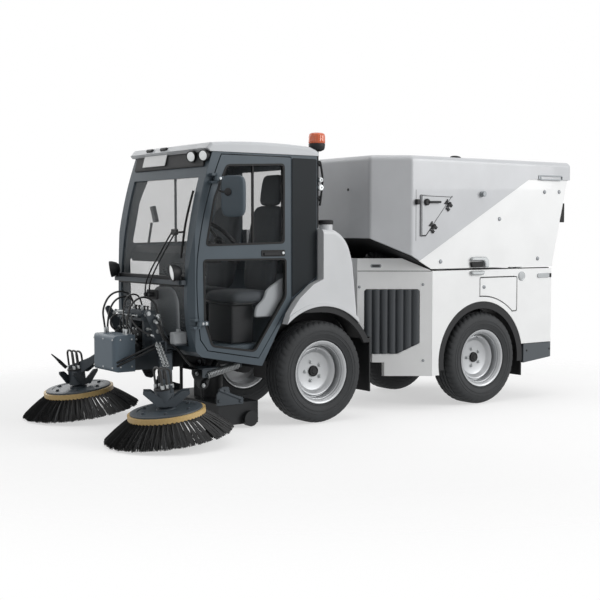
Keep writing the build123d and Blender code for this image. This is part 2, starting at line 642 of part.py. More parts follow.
# Doors, each hung outside the front pillar on two knuckles along one leaning axis
door = side_plate(DOOR, (CAB_Y - 40, CAB_Y + 2))
door -= side_plate(UPPER_PANE, (0, FAR), PANE_ROUND)
door -= side_plate(LOWER_PANE, (0, FAR), PANE_ROUND)
(top_hinge_x, top_hinge_z), (foot_hinge_x, foot_hinge_z) = DOOR_HINGES
hinge_step = Vector(foot_hinge_x - top_hinge_x, 0, foot_hinge_z - top_hinge_z).normalized()
for px, pz in DOOR_HINGES:
    middle = Vector(px, DOOR_HINGE_Y, pz)
    knuckle = bar(middle - hinge_step * 16, middle + hinge_step * 16, KNUCKLE_R)
    door += block((px - 70, px - 4), (CAB_Y + 2, DOOR_HINGE_Y + 12), (pz - 14, pz + 14)) + knuckle
    clear = bar(middle - hinge_step * 40, middle + hinge_step * 40, DOOR_PIN_R + FIT)
    door -= clear
    bracket = bar(middle - hinge_step * 34, middle + hinge_step * 34, DOOR_PIN_R)
    for way in (1, -1):
        inner = middle + hinge_step * (way * 18)
        outer = middle + hinge_step * (way * 34)
        bracket += bar(inner, outer, KNUCKLE_R)
        lug_z = span(inner.Z, outer.Z)
        lug_x = (inner.X + outer.X) / 2
        bracket += block((lug_x - 2, lug_x + 40), (CAB_Y + 6, DOOR_HINGE_Y + 6), lug_z)
        bracket += block((lug_x + 22, lug_x + 40), (CAB_Y - 30, CAB_Y + 8), lug_z)
    cab += both(bracket - cab_inner)
node("cab_shell", cab)
mirror_head = fillet(Box(55, 175, 275).edges(), 20)
mirror_x, mirror_z = top_hinge_x - 40, top_hinge_z
door_mirror = Pos(1610, 715, 1610) * Rot(0, 0, 30) * mirror_head
door_mirror += bar((mirror_x, DOOR_HINGE_Y + 12, mirror_z), (mirror_x, 705, mirror_z), 11)
panes = (side_plate(UPPER_PANE, GLASS_Y, PANE_ROUND), side_plate(LOWER_PANE, GLASS_Y, PANE_ROUND))
for side, twin in (("left", 0), ("right", 1)):
    node(f"door_{side}", pair(door)[twin])
    node(f"door_glass_{side}", *[pair(pane)[twin] for pane in panes])
    node(f"mirror_{side}", pair(door_mirror)[twin])

# Cab fittings
seat = fillet(block((1080, 1470), (65, 475), (860, 960)).edges(), 28)
seat += side_plate([(1080, 900), (1175, 900), (1078, 1470), (1000, 1470)], (85, 455), 30)
seat += side_plate([(1016, 1480), (1072, 1480), (1052, 1640), (992, 1640)], (170, 370), 24)
for stalk_y in (230, 310):
    seat += bar((1036, stalk_y, 1440), (1026, stalk_y, 1500), 8)
seat += block((1270, 1440), (120, 420), (FLOOR_PLATE_Z[1], 880))
node("seats", *pair(seat))
DASH_Y = 472
dash = side_plate([(1560, 1160), (1745, 1160), (1755, 1225), (1700, 1275), (1540, 1240)], (-DASH_Y, DASH_Y))
dash += block((1560, 1720), (-110, 110), (FLOOR_PLATE_Z[1], 1165))
node("dashboard", dash)
WHEEL_HUB = Vector(1440, 270, 1300)
WHEEL_R = 180
column_dir = Vector(-0.75, 0, 0.66).normalized()
wheel_plane = Plane(origin=WHEEL_HUB, z_dir=column_dir)
rim_section = Plane.XZ * Pos(WHEEL_R, 0) * RegularPolygon(15, 6)
steering = wheel_plane * (revolve(rim_section, axis=Axis.Z) + Box(2 * WHEEL_R - 10, 40, 16))
steering += bar(WHEEL_HUB, WHEEL_HUB - column_dir * 172, 24)
node("steering_wheel", steering - dash)
BAR_Z = (1018, 1048)
lamp_bar = block((1868, 1890), (-470, 470), BAR_Z) + both(block((1830, 1880), (466, 494), BAR_Z)) - cab_outer
node("lamp_bar", lamp_bar)
LAMP_Y = 450
head_lamp = bar((1872, LAMP_Y, 1105), (1920, LAMP_Y, 1105), 62) + bar((1920, LAMP_Y, 1105), (1935, LAMP_Y, 1105), 52)
roof_lamp = fillet(block((1640, 1735), (300, 470), (1805, 1875)).edges().filter_by(Axis.X), 15) - cab_outer
node("lamps", *pair(head_lamp - lamp_bar), *pair(roof_lamp))
BEACON = (765, 500)
beacon = bar((*BEACON, 1400), (*BEACON, 1965), 13) + bar((*BEACON, 1960), (*BEACON, 1985), 50)
for arm_z in (1612, 1862):
    beacon += block((BEACON[0] - 10, CAB_REAR_X), (BEACON[1] - 12, BEACON[1] + 12), (arm_z - 12, arm_z + 12))
node("beacon_mast", beacon)
lens = bar((*BEACON, 1985), (*BEACON, 2068), 54)
node("beacon_lens", fillet(lens.edges().sort_by(Axis.Z)[-1], 20))

# Front wheel housings: the white tank above the wheel with a flare, the black lip and the mudflap
fender_x, fender_z = FENDER
fender_legs = [(1082, 800), (1000, 905), (880, 1000), (792, 1036), (792, 1390), (690, 1388),
               ((600, 1330), (545, 1240)), (517, 1154), (488, 877), (462, 640), (440, 500), (1200, 500)]
fender = side_plate(fender_legs, (FENDER_Y, BODY_Y))
outer_edges = fender.edges().filter_by_position(Axis.Y, BODY_Y - 1, BODY_Y + 1)
fender = fillet(outer_edges.filter_by(lambda edge: edge.center().Z > 600 and edge.center().X < 760), FENDER_ROUND)
wheel_space = drum(FENDER, FENDER_R, (0, FAR)) + block((fender_x, FAR), (0, FAR), (0, 700))
under_cab = side_plate([(1262, 428), (1010, 880), (792, 1028), (792, 2000), (1900, 2000), (1900, 428)],
                       (0, CAB_Y + 10))
flare = drum(FENDER, FENDER_R + FLARE, (BODY_Y - 20, BODY_Y + FLARE_PROUD))
flare &= side_plate(fender_legs, (0, FAR))
fender += flare
fender -= wheel_space
fender -= under_cab
filler_cap = bar((685, 500, 1370), (685, 500, 1440), 50)
node("fenders", fender + filler_cap, mirrored(fender))
FLAP_BACK_X = 352
housing = drum(FENDER, FENDER_R, (FENDER_Y, BODY_Y - 6)) - drum(FENDER, FENDER_R - LINER, (0, BODY_Y - 30))
housing -= drum(FENDER, FENDER_LIP_R, (0, FAR))
housing -= block((fender_x, FAR), (0, FAR), (-FAR, 800))
housing -= block((-FAR, fender_x), (0, FAR), (-FAR, 560))
housing += block((FLAP_BACK_X, FLAP_BACK_X + LINER), (FENDER_Y + 5, BODY_Y - 10), (195, 600))
housing += block((FLAP_BACK_X, 392), (FENDER_Y + 5, BODY_Y - 10), (560, 590))
node("front_housings", *pair(housing))

# Brush carrier on the front of the frame: boom, uprights with a valve block, cross bar and lift levers
LEVER_Y = (292, 306)
carrier_half = block((1740, 2060), (0, 110), (420, 520)) + block((1862, 1960), (80, 110), (500, 800))
carrier_half += block((1880, 1990), (0, 125), (760, 830))
carrier_half += block((1856, 1904), (0, 330), HOLDER_Z)
carrier_half += block((POST_X - 45, POST_X + 45), (POST_Y - 45, POST_Y + 45), HOLDER_Z)
carrier_half += side_plate([(1862, 610), (1950, 610), (1975, 650), (2052, 822), ((2036, 846), (2010, 834)),
                            (1905, 700)], LEVER_Y)
carrier_half -= bar((POST_X, POST_Y, HOLDER_Z[0] - 5), (POST_X, POST_Y, HOLDER_Z[1] + 40), POST_PIN_R + FIT)
for spool_y in (25, 70, 115):
    carrier_half += bar((1985, spool_y - 8, 795), (2012, spool_y - 8, 795), 14)
node("brush_carrier", both(carrier_half))
cover = block((2060, 2220), (-165, 165), (420, 670))
cover = fillet(cover.faces().sort_by(Axis.X)[-1].edges(), 34)
node("carrier_cover", cover)

# Brushes: a swinging post, a lifting arm with its motor and yoke, and the turning disc with its bristles
arm_dir = Vector(BRUSH_X - POST_X, BRUSH_Y - POST_Y, 0).normalized()
arm_reach = hypot(BRUSH_X - POST_X, BRUSH_Y - POST_Y)
arm_plane = Plane(origin=(POST_X, POST_Y, 0), x_dir=arm_dir, z_dir=(0, 0, 1))
lift_axis = Pos(LIFT_S, 0, LIFT_Z) * Rot(90, 0, 0)
swing_post = bar((POST_X, POST_Y, POST_Z[0]), (POST_X, POST_Y, POST_Z[1]), POST_R)
swing_post += arm_plane * Pos(LIFT_S / 2 + 10, 0, LIFT_Z - 20) * Box(LIFT_S + 50, 36, 70)
swing_post += bar((POST_X, POST_Y, POST_Z[1] - 5), (POST_X, POST_Y, HOLDER_Z[1] + 15), POST_PIN_R)
swing_post += arm_plane * lift_axis * Cylinder(LIFT_PIN_R, 2 * ARM_Y + 12)
brush_plane = Plane(origin=(BRUSH_X, BRUSH_Y, BRUSH_Z), x_dir=(cos(TILT), 0, -sin(TILT)),
                    z_dir=(sin(TILT), 0, cos(TILT)))
head_s = (arm_reach - 62, arm_reach + 58)
top_legs = [(150, 556), (330, 452), (head_s[1], 384)]
arm_legs = [(LIFT_S - 8, LIFT_Z + 33), *top_legs, (head_s[1], 340), (head_s[0], 340), (260, 436),
            (LIFT_S + 12, LIFT_Z - 33), ((LIFT_S - 34, LIFT_Z), (LIFT_S - 8, LIFT_Z + 33))]
cheek = side_plate(arm_legs[:-1], (ARM_Y - ARM_PLATE, ARM_Y)) + Pos(0, ARM_Y - ARM_PLATE / 2, 0) * (
    lift_axis * Cylinder(34, ARM_PLATE))
web_legs = top_legs + [(s, z - 12) for s, z in reversed(top_legs)]
arm = both(cheek) - lift_axis * Cylinder(LIFT_PIN_R + FIT, FAR)
arm += side_plate(web_legs, (-ARM_Y, ARM_Y))
brush_arm = arm_plane * arm
brush_arm += brush_plane * Pos(0, 0, sum(MOTOR_Z) / 2) * Cylinder(MOTOR_R, MOTOR_Z[1] - MOTOR_Z[0])
yoke_plane = Plane(origin=brush_plane.origin, x_dir=Vector(-arm_dir.Y, arm_dir.X, 0), z_dir=(0, 0, 1))
YOKE_EAR = [(-58, 50), (58, 50), (150, 132), (150, 150), (104, 150), (0, 84), (-104, 150), (-150, 150), (-150, 132)]
yoke = side_plate(YOKE_EAR, (MOTOR_R - 8, MOTOR_R + 4))
brush_arm += yoke_plane * both(yoke)
brush_arm -= brush_plane * Pos(0, 0, MOTOR_Z[0]) * Cylinder(HUB_SHAFT_R + FIT, 80)
DISC_R = RING_R - 45
disc = Pos(0, 0, 18) * Cylinder(DISC_R, 20) + Pos(0, 0, 50) * Cylinder(HUB_SHAFT_R, 60)
for turn in range(6):
    disc += Rot(0, 0, 60 * turn) * Pos(DISC_R - 5, 0, 18) * Box(40, 40, 20)
disc += Cylinder(RING_R, RING_TALL) - Cylinder(RING_R - RING_WIDE, 60)
root_z = -RING_TALL / 2
TUFT_HALF = (24, 38)


def tuft_end(outer_r, long, half):
    """Return the flat end of a tuft: its outer radius, its depth and half its width."""
    return make_face(Polyline((outer_r - long, -half), (outer_r, -half), (outer_r, half), (outer_r - long, half),
                              close=True))


tuft = loft([Pos(0, 0, root_z) * tuft_end(RING_R - 2, RING_WIDE - 3, TUFT_HALF[0]),
             Pos(0, 0, -BRISTLE_DROP) * tuft_end(TIP_R, TUFT_LONG, TUFT_HALF[1])])
root = RegularPolygon(RING_R - 3, TUFTS) - RegularPolygon(RING_R - RING_WIDE - 6, TUFTS)
bristles = Rot(0, 0, 180 / TUFTS) * Pos(0, 0, root_z - 12) * extrude(root, amount=12)
for index in range(TUFTS):
    bristles += Rot(0, 0, 360 / TUFTS * index) * tuft
for side, twin in (("left", 0), ("right", 1)):
    node(f"arm_post_{side}", pair(swing_post)[twin])
    node(f"brush_arm_{side}", pair(brush_arm)[twin])
    node(f"brush_disc_{side}", pair(brush_plane * disc)[twin])
    node(f"bristles_{side}", pair(brush_plane * bristles)[twin])

# Suction mouth under the cab, open below, on two guides, with a roller at each end
mouth = block(MOUTH_X, (-MOUTH_Y, MOUTH_Y), MOUTH_Z)
mouth -= block((MOUTH_X[0] + MOUTH_WALL, MOUTH_X[1] - MOUTH_WALL), (-MOUTH_Y + MOUTH_WALL, MOUTH_Y - MOUTH_WALL),
               (0, MOUTH_Z[1] - MOUTH_WALL))
mouth += bar((DUCT_X, 0, MOUTH_Z[1] - 10), (DUCT_X, 0, 330), DUCT_R)
mouth -= bar((DUCT_X, 0, MOUTH_Z[1] - 40), (DUCT_X, 0, 340), DUCT_R - 10)
mouth += both(bar((GUIDE_X, GUIDE_Y, MOUTH_Z[1] - 5), (GUIDE_X, GUIDE_Y, 455), GUIDE_R))
ROLLER_R = 55
mouth += both(drum((MOUTH_X[0] + 80, ROLLER_R + 8), ROLLER_R, (MOUTH_Y - 5, MOUTH_Y + 40)))
node("suction_mouth", mouth)

os.makedirs("parts", exist_ok=True)
for name, solids in NODES.items():
    shape = solids[0] if len(solids) == 1 else Compound(children=list(solids))
    export_step(Pos(-FRAME_X, 0, 0) * shape, f"parts/{name}.step")
print(f"{len(NODES)} nodes, frame moved by {-FRAME_X:.3f}")
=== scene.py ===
"""A compact street sweeper in the studio: a finish for every solid, and the fittings that they leave out.

Places and sizes are millimetres in the drawing's frame: X forward, Y to the left and Z up, from the ground
under the articulation pin. A finished mesh is moved from there into the model's frame and turned to metres.
"""

from __future__ import annotations

import json
import logging
from dataclasses import dataclass, field
from enum import Enum
from itertools import product
from math import atan2, cos, pi, radians, sin, tau
from typing import Any, ClassVar, Iterable, Sequence

import bmesh
import bpy
import numpy as np
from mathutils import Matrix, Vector

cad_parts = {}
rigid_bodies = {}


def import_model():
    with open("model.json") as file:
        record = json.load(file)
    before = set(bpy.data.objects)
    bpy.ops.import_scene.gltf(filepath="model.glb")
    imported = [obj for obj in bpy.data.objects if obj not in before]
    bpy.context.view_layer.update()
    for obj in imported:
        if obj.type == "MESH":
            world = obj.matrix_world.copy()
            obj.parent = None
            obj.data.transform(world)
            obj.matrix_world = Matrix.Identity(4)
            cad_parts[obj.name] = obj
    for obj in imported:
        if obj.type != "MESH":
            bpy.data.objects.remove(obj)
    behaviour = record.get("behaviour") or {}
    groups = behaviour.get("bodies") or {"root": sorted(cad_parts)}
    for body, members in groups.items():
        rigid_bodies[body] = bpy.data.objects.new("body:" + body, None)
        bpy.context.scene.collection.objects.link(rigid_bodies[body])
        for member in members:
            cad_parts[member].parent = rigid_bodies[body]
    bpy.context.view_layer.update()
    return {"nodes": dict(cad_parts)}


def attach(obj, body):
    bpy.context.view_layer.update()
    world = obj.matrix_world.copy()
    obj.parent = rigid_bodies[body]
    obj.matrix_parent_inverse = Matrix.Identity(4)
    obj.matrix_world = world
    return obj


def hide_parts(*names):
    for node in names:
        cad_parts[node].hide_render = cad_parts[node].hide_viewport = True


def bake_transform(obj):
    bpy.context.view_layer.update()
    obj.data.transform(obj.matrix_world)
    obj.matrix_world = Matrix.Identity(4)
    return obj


Array = np.ndarray
Point = tuple[float, float, float]
Flat = tuple[float, float]

PIN_X = -335.758
METRE = 0.001
log = logging.getLogger("sweeper")


class Side(Enum):
    """The two sides of the machine, with the sign of Y on each."""

    LEFT = 1
    RIGHT = -1

    @property
    def word(self) -> str:
        """Return the side's name as the solids use it."""
        return self.name.lower()


class Pattern(Enum):
    """How a surface was made, which sets the form of its grain."""

    SPRAYED = "sprayed"
    MOULDED = "moulded"
    ROLLED = "rolled"
    WOVEN = "woven"

    @property
    def stretch(self) -> Point:
        """Return how the grain's scale differs along X, Y and Z: rolling draws it out along X."""
        return (0.08, 1.0, 1.0) if self is Pattern.ROLLED else (1.0, 1.0, 1.0)


# Shader nodes


def linear(code: str) -> tuple[float, float, float, float]:
    """Turn an sRGB hex code into linear colour.

    Args:
        code: Six hex digits.

    Returns:
        Red, green, blue and an alpha of one.
    """
    raw = np.array([int(code[start : start + 2], 16) for start in (0, 2, 4)]) / 255
    lit = np.where(raw <= 0.04045, raw / 12.92, ((raw + 0.055) / 1.055) ** 2.4)
    return (*lit.tolist(), 1.0)


def add(tree: bpy.types.NodeTree, kind: str, settings: dict[str, Any] | None = None,
        values: dict[Any, Any] | None = None, links: dict[Any, Any] | None = None) -> bpy.types.Node:
    """Add one node to a tree.

    Args:
        tree: The tree that gets the node.
        kind: Blender's name for the kind of node.
        settings: Properties of the node itself.
        values: Constants for its inputs.
        links: Sockets that feed its inputs.

    Returns:
        The new node.
    """
    node = tree.nodes.new(kind)
    for key, value in (settings or {}).items():
        setattr(node, key, value)
    for key, value in (values or {}).items():
        node.inputs[key].default_value = value
    for key, socket in (links or {}).items():
        tree.links.new(socket, node.inputs[key])
    return node


@dataclass(frozen=True)
class Finish:
    """A surface as its maker left it: colour, gloss, grain in millimetres and softened edges."""

    name: str
    colour: str
    roughness: float
    metallic: float = 0.0
    pattern: Pattern = Pattern.SPRAYED
    grain: float = 4.0
    relief: float = 0.06
    tone: float = 0.06
    drift: float = 260.0
    edge: float = 2.5
    coat: float = 0.0
    shine: float = 0.5
    glow: float = 0.0

    SWAY: ClassVar[float] = 0.06
    LEAST_ROUGH: ClassVar[float] = 0.02
    made: ClassVar[dict[str, bpy.types.Material]] = {}

    def shade(self, share: float) -> tuple[float, ...]:
        """Return the colour made lighter or darker by a share of itself."""
        return (*[min(1.0, part * (1 + share)) for part in linear(self.colour)[:3]], 1.0)

    def colours(self, tree: bpy.types.NodeTree, coords: Any) -> Any:
        """Return the socket that colours the surface: slow drifts between two shades of one colour."""
        drift = add(tree, "ShaderNodeTexNoise", values={"Scale": 1 / (self.drift * METRE), "Detail": 3.0},
                    links={"Vector": coords})
        ramp = add(tree, "ShaderNodeValToRGB", links={"Fac": drift.outputs["Fac"]})
        for element, share, at in zip(ramp.color_ramp.elements, (-self.tone, self.tone), (0.35, 0.65)):
            element.color = self.shade(share)
            element.position = at
        return ramp.outputs["Color"]

    def dress(self, tree: bpy.types.NodeTree, shader: bpy.types.Node, coords: Any) -> None:
        """Set what only this kind of finish has. A plain finish has nothing more."""

    def material(self) -> bpy.types.Material:
        """Return the finish's material, made once."""
        if self.name in self.made:
            return self.made[self.name]
        material = bpy.data.materials.new(self.name)
        material.use_nodes = True
        tree = material.node_tree
        shader = tree.nodes["Principled BSDF"]
        coords = add(tree, "ShaderNodeTexCoord").outputs["Object"]
        stretched = add(tree, "ShaderNodeMapping", values={"Scale": self.pattern.stretch},
                        links={"Vector": coords})
        scale = {"Scale": 1 / (self.grain * METRE)}
        if self.pattern is Pattern.WOVEN:
            kind = "ShaderNodeTexChecker"
        else:
            kind = "ShaderNodeTexNoise"
            scale["Detail"] = 2.0
        grain = add(tree, kind, values=scale, links={"Vector": stretched.outputs["Vector"]})
        smooth, dull = max(self.LEAST_ROUGH, self.roughness - self.SWAY), self.roughness + self.SWAY
        rough = add(tree, "ShaderNodeMapRange", links={"Value": grain.outputs["Fac"]},
                    values={"From Min": 0.3, "From Max": 0.7, "To Min": smooth, "To Max": dull})
        rounded = add(tree, "ShaderNodeBevel", settings={"samples": 4}, values={"Radius": self.edge * METRE})
        bump = add(tree, "ShaderNodeBump", values={"Distance": self.relief * METRE, "Strength": 1.0},
                   links={"Height": grain.outputs["Fac"], "Normal": rounded.outputs["Normal"]})
        tree.links.new(self.colours(tree, coords), shader.inputs["Base Color"])
        tree.links.new(rough.outputs["Result"], shader.inputs["Roughness"])
        tree.links.new(bump.outputs["Normal"], shader.inputs["Normal"])
        shader.inputs["Metallic"].default_value = self.metallic
        shader.inputs["Coat Weight"].default_value = self.coat
        shader.inputs["Specular IOR Level"].default_value = self.shine
        if self.glow:
            shader.inputs["Emission Color"].default_value = linear(self.colour)
            shader.inputs["Emission Strength"].default_value = self.glow
        self.dress(tree, shader, coords)
        self.made[self.name] = material
        return material


@dataclass(frozen=True)
class Glazing(Finish):
    """Safety glass: a thin clear tint, with the cab's rear quarters darker."""

    clear: float = 0.16
    dark: float = 0.86
    quarter_x: float = 1012.0
    quarter_y: float = 480.0

    def dress(self, tree: bpy.types.NodeTree, shader: bpy.types.Node, coords: Any) -> None:
        """Let light through the pane, and less of it behind and beside the seats."""
        parts = add(tree, "ShaderNodeSeparateXYZ", links={"Vector": coords})
        behind = add(tree, "ShaderNodeMath", {"operation": "LESS_THAN"},
                     {1: (self.quarter_x + PIN_X) * METRE}, {0: parts.outputs["X"]})
        width = add(tree, "ShaderNodeMath", {"operation": "ABSOLUTE"}, links={0: parts.outputs["Y"]})
        beside = add(tree, "ShaderNodeMath", {"operation": "GREATER_THAN"}, {1: self.quarter_y * METRE},
                     {0: width.outputs["Value"]})
        both = add(tree, "ShaderNodeMath", {"operation": "MULTIPLY"},
                   links={0: behind.outputs["Value"], 1: beside.outputs["Value"]})
        alpha = add(tree, "ShaderNodeMapRange", values={"To Min": self.clear, "To Max": self.dark},
                    links={"Value": both.outputs["Value"]})
        tree.links.new(alpha.outputs["Result"], shader.inputs["Alpha"])


@dataclass(frozen=True)
class BrushPlate(Finish):
    """Painted steel disc inside an ochre plastic ring, parted at a radius about the brush's own axis."""

    ring: tuple[str, str] = ("BC9A5C", "DDC086")
    centre: Point = (0.0, 0.0, 0.0)
    tilt: float = 0.0
    part_radius: float = 219.6

    def colours(self, tree: bpy.types.NodeTree, coords: Any) -> Any:
        """Return the disc's colour inside the parting radius and the ring's outside it."""
        inner = super().colours(tree, coords)
        moved = add(tree, "ShaderNodeVectorMath", {"operation": "SUBTRACT"},
                    {1: tuple(model([self.centre])[0])}, {0: coords})
        turned = add(tree, "ShaderNodeVectorRotate", {"rotation_type": "Y_AXIS"}, {"Angle": -self.tilt},
                     {"Vector": moved.outputs["Vector"]})
        level = add(tree, "ShaderNodeVectorMath", {"operation": "MULTIPLY"}, {1: (1, 1, 0)},
                    {0: turned.outputs["Vector"]})
        radius = add(tree, "ShaderNodeVectorMath", {"operation": "LENGTH"},
                     links={0: level.outputs["Vector"]})
        outside = add(tree, "ShaderNodeMath", {"operation": "GREATER_THAN"}, {1: self.part_radius * METRE},
                      {0: radius.outputs["Value"]})
        grain = add(tree, "ShaderNodeTexNoise", values={"Scale": 90.0, "Detail": 4.0},
                    links={"Vector": coords})
        ring = add(tree, "ShaderNodeValToRGB", links={"Fac": grain.outputs["Fac"]})
        for element, code in zip(ring.color_ramp.elements, self.ring):
            element.color = linear(code)
        mix = add(tree, "ShaderNodeMix", {"data_type": "RGBA"},
                  links={0: outside.outputs["Value"], 6: inner, 7: ring.outputs["Color"]})
        return mix.outputs[2]


@dataclass(frozen=True)
class StrandFinish(Finish):
    """Black polypropylene strands, some of them paler by a tone that each strand carries: dust, and painted
    sheen.
    """

    pale: str = "5B5D60"

    def colours(self, tree: bpy.types.NodeTree, coords: Any) -> Any:
        """Return a colour between dark and pale by the strand's own tone of dust and painted sheen."""
        tone = add(tree, "ShaderNodeAttribute", {"attribute_name": "tone"})
        ramp = add(tree, "ShaderNodeValToRGB", links={"Fac": tone.outputs["Fac"]})
        for element, code, at in zip(ramp.color_ramp.elements, (self.colour, self.pale), (0.45, 1.0)):
            element.color = linear(code)
            element.position = at
        return ramp.outputs["Color"]


BRUSH_TILT = radians(7)
BRUSH_CENTRE = {Side.LEFT: (2097.0, 665.0, 200.0), Side.RIGHT: (2097.0, -665.0, 200.0)}


class Palette:
    """Every finish on the machine, and the finish of each solid that stays in view."""

    # Powder coat is sprayed and baked, and gelcoat is sprayed into its mould: a faint peel under a soft gloss
    white_coat = Finish("powder_coat_white", "F5F6F6", 0.34, tone=0.02, grain=5, relief=0.03, coat=0.25)
    grey_gelcoat = Finish("gelcoat_light_grey", "C4C6C9", 0.36, tone=0.03, grain=6, relief=0.03, coat=0.2)
    roof_gelcoat = Finish("gelcoat_roof_grey", "C8CBCE", 0.42, tone=0.03, grain=6, relief=0.03)
    slate_coat = Finish("powder_coat_slate", "4A555D", 0.42, tone=0.06, grain=3, relief=0.05, shine=0.28)
    cover_coat = Finish("powder_coat_cover_grey", "606E79", 0.45, tone=0.05, grain=3, relief=0.05, shine=0.35)
    frame_coat = Finish("chassis_paint_black", "1B1D1F", 0.5, tone=0.12, grain=3, relief=0.06, shine=0.3)
    gear_coat = Finish("chassis_paint_graphite", "3F464C", 0.48, tone=0.1, grain=3, relief=0.06, shine=0.35)
    # Moulded plastic carries the fine grain of its tool and has no coat
    tank_pe = Finish("moulded_polyethylene_pale", "D0D2D4", 0.4, tone=0.03, pattern=Pattern.MOULDED,
                     grain=3, relief=0.05)
    black_abs = Finish("moulded_abs_black", "17181A", 0.55, tone=0.1, pattern=Pattern.MOULDED, grain=2,
                       relief=0.1, shine=0.3)
    grille_abs = Finish("moulded_abs_grille", "34383C", 0.5, tone=0.08, pattern=Pattern.MOULDED, grain=2,
                        relief=0.08)
    pale_abs = Finish("moulded_abs_pale_grey", "A9ADB0", 0.5, tone=0.05, pattern=Pattern.MOULDED, grain=2,
                      relief=0.08)
    bumper_pp = Finish("moulded_polypropylene_grey", "43494E", 0.55, tone=0.06, pattern=Pattern.MOULDED,
                       grain=2)
    # Vulcanised rubber scatters light and greys a little where it has weathered
    rubber = Finish("rubber_seal_black", "0D0E0F", 0.62, tone=0.15, pattern=Pattern.MOULDED, grain=3,
                    relief=0.08, shine=0.3)
    tyre_rubber = Finish("tyre_rubber", "242628", 0.72, tone=0.16, pattern=Pattern.MOULDED, grain=5,
                         relief=0.25, drift=90, edge=1.0)
    hose_rubber = Finish("hose_rubber", "101112", 0.45, tone=0.2, pattern=Pattern.MOULDED, grain=2,
                         relief=0.1, edge=0.5)
    # Wheel lacquer is an aluminium-flake paint, half metal to the eye
    wheel_lacquer = Finish("wheel_lacquer_silver", "B4B6B8", 0.38, 0.45, tone=0.05, grain=2, relief=0.03,
                           edge=1.5)
    # Drawn and plated steel is streaked along its length, and cast steel is pitted
    zinc = Finish("zinc_plated_steel", "A6A9AA", 0.32, 0.9, Pattern.ROLLED, grain=2, tone=0.08, edge=0.8)
    chrome_steel = Finish("hard_chrome_steel", "C4C6C8", 0.2, 1.0, Pattern.ROLLED, grain=2, tone=0.05,
                          edge=0.8)
    cast_steel = Finish("cast_steel_grey", "8E9295", 0.5, 0.5, grain=3, relief=0.1, tone=0.08, edge=1.5)
    # Seat cloth is a flat weave of about two millimetres, drawn at four so that it shows
    seat_cloth = Finish("seat_cloth_charcoal", "484C50", 0.85, tone=0.12, pattern=Pattern.WOVEN, grain=4,
                        relief=0.35)
    # Polycarbonate lenses have flutes moulded in, and those before a reflector look lit
    lens_clear = Finish("lamp_lens_clear", "E6E9EA", 0.12, tone=0.04, grain=8, relief=0.5, coat=0.6, glow=0.3)
    lens_red = Finish("lamp_lens_red", "A11A18", 0.18, tone=0.1, grain=8, relief=0.5, coat=0.5)
    lens_amber = Finish("beacon_lens_amber", "D65A1E", 0.16, tone=0.12, grain=8, relief=0.2, coat=0.5,
                        glow=0.04)
    lens_grey = Finish("reflector_lens_grey", "B9BDBF", 0.2, tone=0.1, grain=5, relief=0.8, coat=0.5)
    # Safety glass is a thin grey tint, with a softer gloss than the real one so that renders stay clean
    # The cab's rear quarter panes are opaque and dark
    dark_glass = Finish("tinted_glass_dark", "23272A", 0.42, tone=0.04, relief=0.0, edge=0.5, shine=0.1)
    mirror_glass = Finish("mirror_glass", "9FA6AB", 0.05, 1.0, tone=0.02, relief=0.0, edge=0.5)
    screen_glass = Glazing("safety_glass_grey", "4A5256", 0.34, tone=0.02, grain=900.0, relief=0.0, edge=0.5,
                           clear=0.3)
    door_glass = Glazing("safety_glass_clear", "4A5256", 0.34, tone=0.02, grain=900.0, relief=0.0, edge=0.5,
                         clear=0.025)
    # Polypropylene strands are extruded smooth and pick up dust; their paler tone also paints sheen on them
    strands = StrandFinish("brush_strands_black", "0B0C0D", 0.5, tone=0.2, relief=0.0, edge=0.2)
    brush_plates = {side: BrushPlate(f"brush_plate_{side.word}", "3A4349", 0.45, tone=0.08, centre=centre,
                                     tilt=BRUSH_TILT) for side, centre in BRUSH_CENTRE.items()}

    def nodes(self) -> dict[str, Finish]:
        """Return the finish of each solid by its name."""
        by_finish = {
            self.white_coat: "side_panels service_flap nose_panel nose_cowl rear_wall hopper_tub",
            self.tank_pe: "fenders",
            self.grey_gelcoat: "hopper_hood hopper_hatch",
            self.roof_gelcoat: "cab_roof",
            self.slate_coat: "cab_shell door_left door_right hopper_gate",
            self.cover_coat: "carrier_cover",
            self.frame_coat: "rear_frame front_frame rear_axle front_axle power_pack suction_mouth "
                             "ram_barrels",
            self.gear_coat: "brush_carrier arm_post_left arm_post_right brush_arm_left brush_arm_right "
                            "lamp_bar",
            self.black_abs: "rear_housings front_housings dashboard beacon_mast mirror_left mirror_right",
            self.grille_abs: "nose_grilles",
            self.bumper_pp: "rear_bumper",
            self.chrome_steel: "ram_rods",
            self.screen_glass: "cab_glass",
            self.door_glass: "door_glass_left door_glass_right",
            self.lens_red: "rear_lamps",
            self.brush_plates[Side.LEFT]: "brush_disc_left",
            self.brush_plates[Side.RIGHT]: "brush_disc_right",
        }
        return {name: finish for finish, names in by_finish.items() for name in names.split()}

    def dress(self, solids: dict[str, bpy.types.Object]) -> None:
        """Give every solid that stays in view its material."""
        for name, finish in self.nodes().items():
            data = solids[name].data
            data.materials.clear()
            data.materials.append(finish.material())
            log.info("solid %s: %s", name, finish.name)


PALETTE = Palette()


# Flat outlines and solid surfaces, worked out as whole arrays


def model(points: Any) -> Array:
    """Move points of the drawing into the model's frame, in metres."""
    return (np.asarray(points, float) + (PIN_X, 0, 0)) * METRE


def unit(vectors: Any) -> Array:
    """Scale vectors to length one along their last axis."""
    vectors = np.asarray(vectors, float)
    return vectors / np.linalg.norm(vectors, axis=-1, keepdims=True)


def circle(radius: float, sides: int = 24, squash: float = 1.0) -> Array:
    """Return a ring of points: radius times cosine and sine of even angles, the second one squashed."""
    angle = np.arange(sides) * tau / sides
    return np.stack([radius * np.cos(angle), radius * squash * np.sin(angle)], axis=1)


